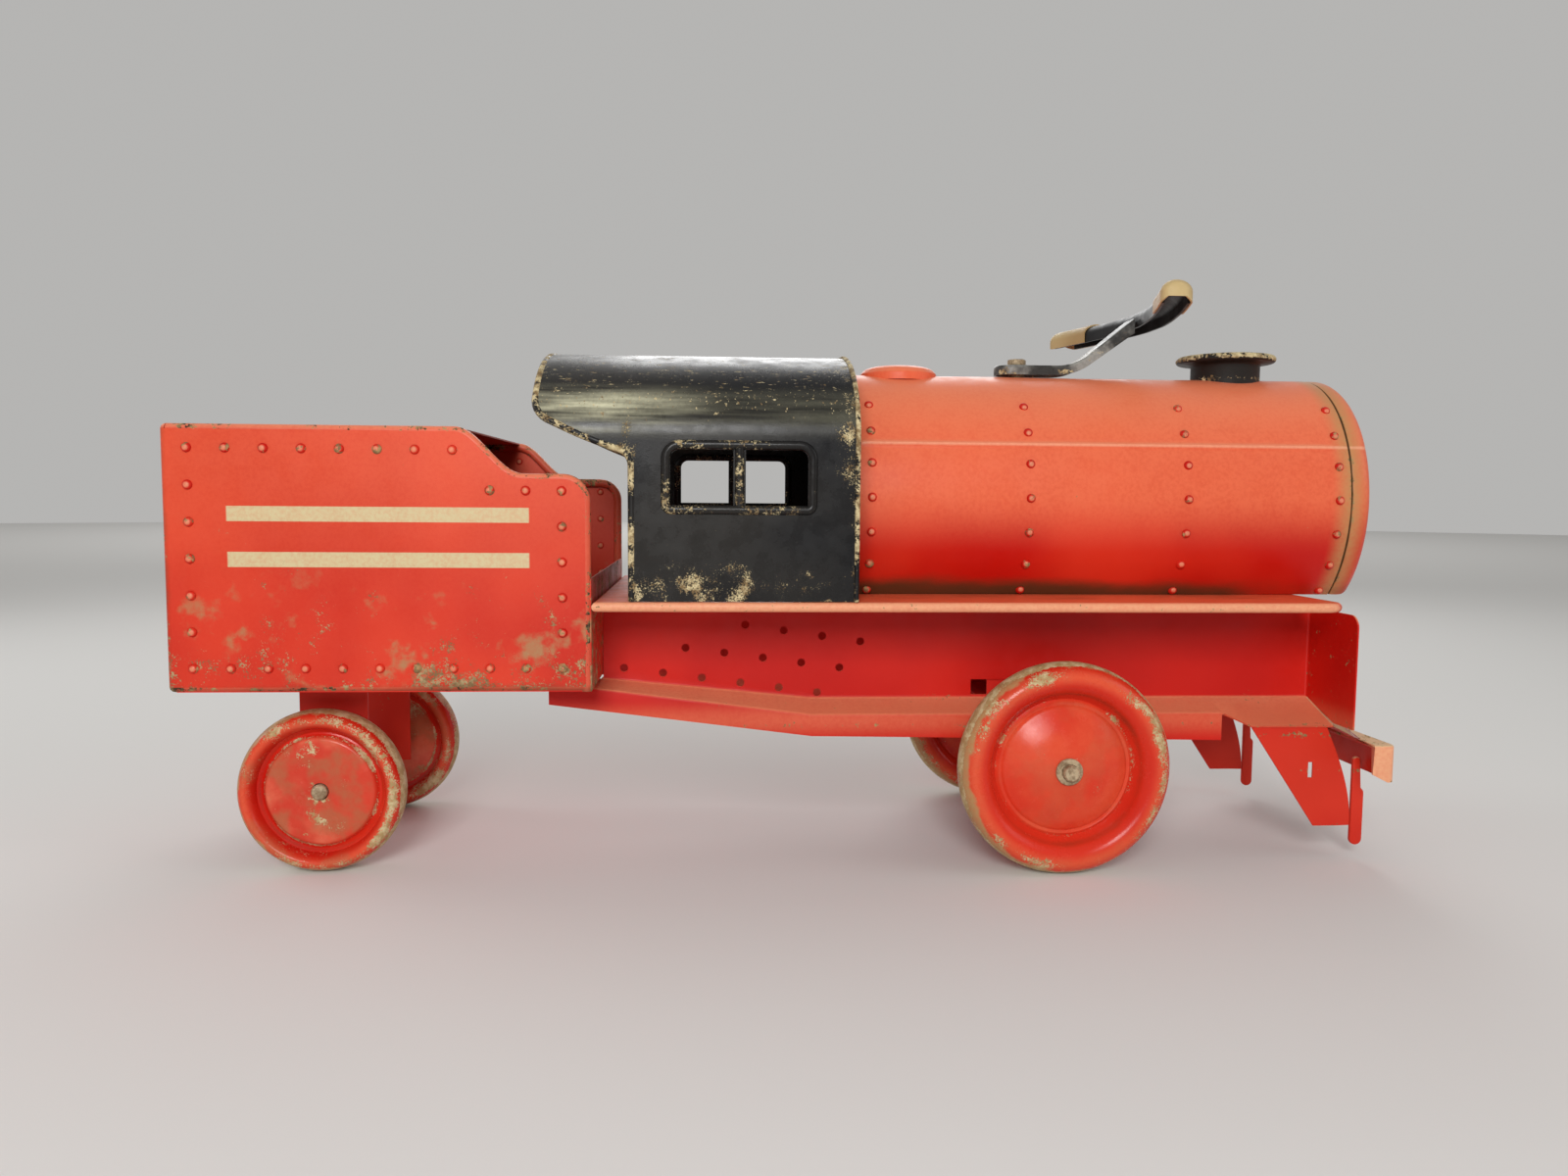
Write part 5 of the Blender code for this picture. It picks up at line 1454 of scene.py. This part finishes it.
def stem_wear(f):
    return f.most(f.ramp(f.z, z_stem - 4, z_stem - 1, 0.9, 0.2), f.ramp(f.x, x_climb - 5, x_climb, 0.0, 0.55))


def stem_grey(f):
    return f.ramp(f.noise(34, 4), 0.38, 0.56, 0.1, 0.95)


stem_black = worn_paint("stem_worn", BLACK, stem_wear, gain=0.12, limit=0.655, gloss=0.3,
                        films=((stem_grey, (0.33, 0.32, 0.29)),), bare=WORN_TO_CREAM)
ease = quad((x_climb - STEM_EASE, z_stem), (x_climb, z_stem),
            (x_climb + STEM_EASE * math.cos(climb), z_stem + STEM_EASE * math.sin(climb)), 8)
line = [(x_climb - STEM_EASE, z_stem)] + ease + [(x_end, z_bar)]
right, left = ([(x, side * stem_half, z) for x, z in line] for side in (-1, 1))
tail = [(x, y, z_stem) for x, y in arc(stem_low.x + stem_half, 0, stem_half, 90, 270, 24)]
around = right[::-1] + tail[::-1] + left
skirt = [(x, y, z - STEM_SKIRT - STEM_DEEPEN * (z - z_stem) / stem_rise) for x, y, z in around]
stem_faces = [(right[0], left[0], *tail)] + strip(left, right) + strip(skirt, around)
finish_piece("handle_stem", sheet_mesh(stem_faces), stem_black, **ON_HANDLE, stands_for=("handle_strap",),
             changes=(bend(STEM_FOLD, 4, 40), wall(HANDLE_SHEET)), sharp=40)

# %% [markdown]
# The cross bar is an arch of sheet that sweeps back to both ends, where a sleeve with a rounded end
# makes a grip; hands have worn the grips down to tan metal. A modifier could bend a straight arch.
# Here rows of the section are set along the sweep, so that bar and sleeves share it, and it can close
# in towards a sleeve's tip.

# %% Handle bar
BAR_SWEEP, SWEEP_CURVE, BOLT_EDGE = 24.0, 1.4, 0.8
GRIP_TIP, GRIP_CLOSE, GRIP_LAP = 8.0, 0.85, 1.0
GRIP_ROWS, BAR_ROWS, CROWN_POINTS = 32, 40, 24

bar_black = worn_paint("bar_black", BLACK, gain=0.1, limit=0.665, gloss=0.4)
grip_tan = worn_paint("grip_worn", (TAN, (0.62, 0.48, 0.24)), gain=0.1, limit=0.64, gloss=0.5,
                      bare=(SOOT, KHAKI))


def bar_row(y, grow=0.0, tip=0.0):
    """The arch of the bar's section at y, rear leg first; tip is how much of its end closes in."""
    reach = max(0.0, abs(y) - bar_span + tip) / max(tip, 1.0)
    close = math.sqrt(1 - (GRIP_CLOSE * reach) ** 2)
    lean = max(0.0, (abs(y) - stem_half) / (bar_span - stem_half))
    x = x_bar - BAR_SWEEP * lean ** SWEEP_CURVE
    half, rise = (BAR_HALF + grow) * close, (BAR_CROWN + grow) * close
    crown = [(x - half * math.cos(a), y, z_bar + rise * math.sin(a))
             for a in (math.pi * k / CROWN_POINTS for k in range(CROWN_POINTS + 1))]
    foot = z_bar - (z_bar - z_legs) * close
    return [(crown[0][0], y, foot)] + crown + [(crown[-1][0], y, foot)]


bar_end = bar_span - GRIP_TIP - GRIP_LAP
rows = [bar_row(bar_end * k / BAR_ROWS) for k in range(BAR_ROWS, -BAR_ROWS - 1, -1)]
finish_piece("cross_bar", sheet_mesh(lattice(rows)), bar_black, **ON_HANDLE, stands_for=("handle_bar",),
             changes=(wall(HANDLE_SHEET),), sharp=40)
for side, label in SIDES:
    low, high = span(f"handle_grip_{label}")
    rows = [bar_row(low.y + (high.y - low.y) * k / GRIP_ROWS, SHEET + CLEAR, GRIP_TIP)
            for k in range(GRIP_ROWS, -1, -1)]
    end_face = tuple(rows[-1][::-1] if side < 0 else rows[0])
    finish_piece(f"grip_sleeve_{label}", sheet_mesh(lattice(rows) + [end_face]), grip_tan, **ON_HANDLE,
                 stands_for=(f"handle_grip_{label}",), changes=(wall(SHEET),), sharp=60)
hexagon = arc((bolt_low.x + bolt_high.x) / 2, 0, (bolt_high.x - bolt_low.x) / 2, 0, 300, 5)
finish_piece("post_bolt", slab(hexagon, bolt_low.z, bolt_high.z), steel, **ON_STEERING,
             stands_for=("handle_bolt",), changes=(soften(BOLT_EDGE, 3),))
print("cross bar is", round(2 * bar_span), "mm wide")

# %% [markdown]
# Rows of embossed rivets edge the tender's panels and band the boiler. Each could be a copied object,
# but there are far too many to place by hand. Geometry Nodes sets one flattened dome on every point
# and turns it to face along the point's own direction.

# %% Rivets by Geometry Nodes
RIVET_SEGMENTS, RIVET_RINGS, RIVET_SHARP = 14, 8, 80


def rivet_tree():
    inputs = (("Points", "Geometry"), ("Radius", "Float"), ("Height", "Float"))
    tree, start, real = new_tree("rivet_heads", inputs)
    add = tree.nodes.new
    dome, shape = add("GeometryNodeMeshUVSphere"), add("GeometryNodeTransform")
    size = add("ShaderNodeCombineXYZ")
    way, turned = add("GeometryNodeInputNamedAttribute"), add("FunctionNodeAlignRotationToVector")
    heads = add("GeometryNodeInstanceOnPoints")
    dome.inputs["Segments"].default_value = RIVET_SEGMENTS
    dome.inputs["Rings"].default_value = RIVET_RINGS
    way.data_type = "FLOAT_VECTOR"
    way.inputs["Name"].default_value = "facing"
    turned.axis = "Z"
    wire(tree, ((start, "Radius", size, "X"), (start, "Radius", size, "Y"), (start, "Height", size, "Z"),
                (dome, "Mesh", shape, "Geometry"), (size, "Vector", shape, "Scale"),
                (way, "Attribute", turned, "Vector"), (turned, "Rotation", heads, "Rotation"),
                (start, "Points", heads, "Points"), (shape, "Geometry", heads, "Instance"),
                (heads, "Instances", real, "Geometry")))
    return tree


RIVET = rivet_tree()


def rivets(name, spots, radius, height, mat):
    """Domes on the chassis at (point, direction) pairs."""
    mesh = bpy.data.meshes.new(name)
    mesh.from_pydata([tuple(Vector(p) * MM) for p, _ in spots], [], [])
    facing = mesh.attributes.new("facing", "FLOAT_VECTOR", "POINT")
    for item, (_, way) in zip(facing.data, spots):
        item.vector = way
    obj = add_object(name, mesh)
    add_nodes(obj, RIVET, {"Radius": radius * MM, "Height": height * MM, "Material": mat})
    settle(obj, RIVET_SHARP)
    declare(obj, "chassis")
    print(name, len(spots), "rivets")


print("node tree", RIVET.name, "has", len(RIVET.nodes), "nodes")

# %% [markdown]
# On the tender the rivets follow the panel's edge on both sides and the back. Inside, where each on a
# side was punched, a dark dent shows. The points could be picked from the mesh, which has none in
# these places. So they are rows between named margins.

# %% Tender rivets
RIVET_R, RIVET_HEIGHT, DENT_R, DENT_HEIGHT = 2.9, 2.3, 1.9, 0.3
TAIL_MARGIN, LEAD_MARGIN, LOW_MARGIN, TOP_MARGIN, STEP_MARGIN = 15.2, 16.3, 14.0, 13.5, 36.3
TOP_PITCH, STEP_PITCH, BACK_MARGIN = 21.0, 20.4, 13.0


def rivet_crown_rub_and_highlight(f):
    """The middle of each head made pink: rubbed paint and a painted highlight."""
    return f.ramp(f.math("ABSOLUTE", f.facing[1]), 0.75, 1.0, 0.0, 0.6)


x_left, x_right = x_tail + TAIL_MARGIN, x_front - LEAD_MARGIN
z_bottom, z_top, z_mid = t_low.z + LOW_MARGIN, t_high.z - TOP_MARGIN, t_high.z - STEP_MARGIN
upright = [z_bottom + (z_top - z_bottom) * k / 6 for k in range(1, 6)]
side_spots = [(x_left + TOP_PITCH * k, z_top) for k in range(8)] + [(x_left, z) for z in upright]
side_spots += [(x_left + (x_right - x_left) * k / 10, z_bottom) for k in range(11)]
side_spots += [(x_right, z_bottom + (z_mid - z_bottom) * k / 5) for k in range(1, 6)]
side_spots += [(x_right - STEP_PITCH * k, z_mid) for k in (1, 2)]
back_y = tender_half - BACK_MARGIN
back_spots = [(-back_y + 2 * back_y * k / 10, z) for k in range(11) for z in (z_bottom, z_top)]
back_spots += [(y, z) for z in upright for y in (-back_y, back_y)]
rivet_red = worn_paint("rivet_red", RED, rubbed(60, 0.35, 0.6, detail=2), gain=0.14, limit=0.62,
                       films=((rivet_crown_rub_and_highlight, PINK),))
spots = [((x, side * tender_half, z), (0, side, 0)) for side in (-1, 1) for x, z in side_spots]
spots += [((x_tail, y, z), (-1, 0, 0)) for y, z in back_spots]
rivets("tender_rivets", spots, RIVET_R, RIVET_HEIGHT, rivet_red)
dents = [((x, side * (tender_half - SHEET), z), (0, -side, 0)) for x, z in side_spots for side in (-1, 1)]
rivets("tender_dents", dents, DENT_R, DENT_HEIGHT, worn_paint("dent_dark", (SOOT, DIRT_AND_SHADE)))

# %% [markdown]
# Four bands of rivets go round the boiler. Rays could find their places on its skin. The skin's own
# formula is at hand, so each rivet stands exactly on it, dents and all, and faces square to the oval.

# %% Boiler rivets
BAND_STEP, BAND_MID, BAND_REACH = 14.9, 1.0, 3
BAND_PLACES, BAND_LAST = (12.4, 111.9, 212.5), 8.0


def oval_normal(angle):
    a = math.radians(angle)
    return Vector((0, -boiler_rise * math.cos(a), BOILER_HALF * math.sin(a))).normalized()


band_angles = [BAND_MID + BAND_STEP * k for k in range(-BAND_REACH, BAND_REACH + 1)]
spots = [(boiler_point(x, angle, boiler_grow(x, angle)), oval_normal(angle))
         for x in (*(b_low.x + place for place in BAND_PLACES), b_high.x - BAND_LAST)
         for near_angle in band_angles for angle in (near_angle, 180 - near_angle)]
rivets("boiler_rivets", spots, RIVET_R, RIVET_HEIGHT, rivet_red)
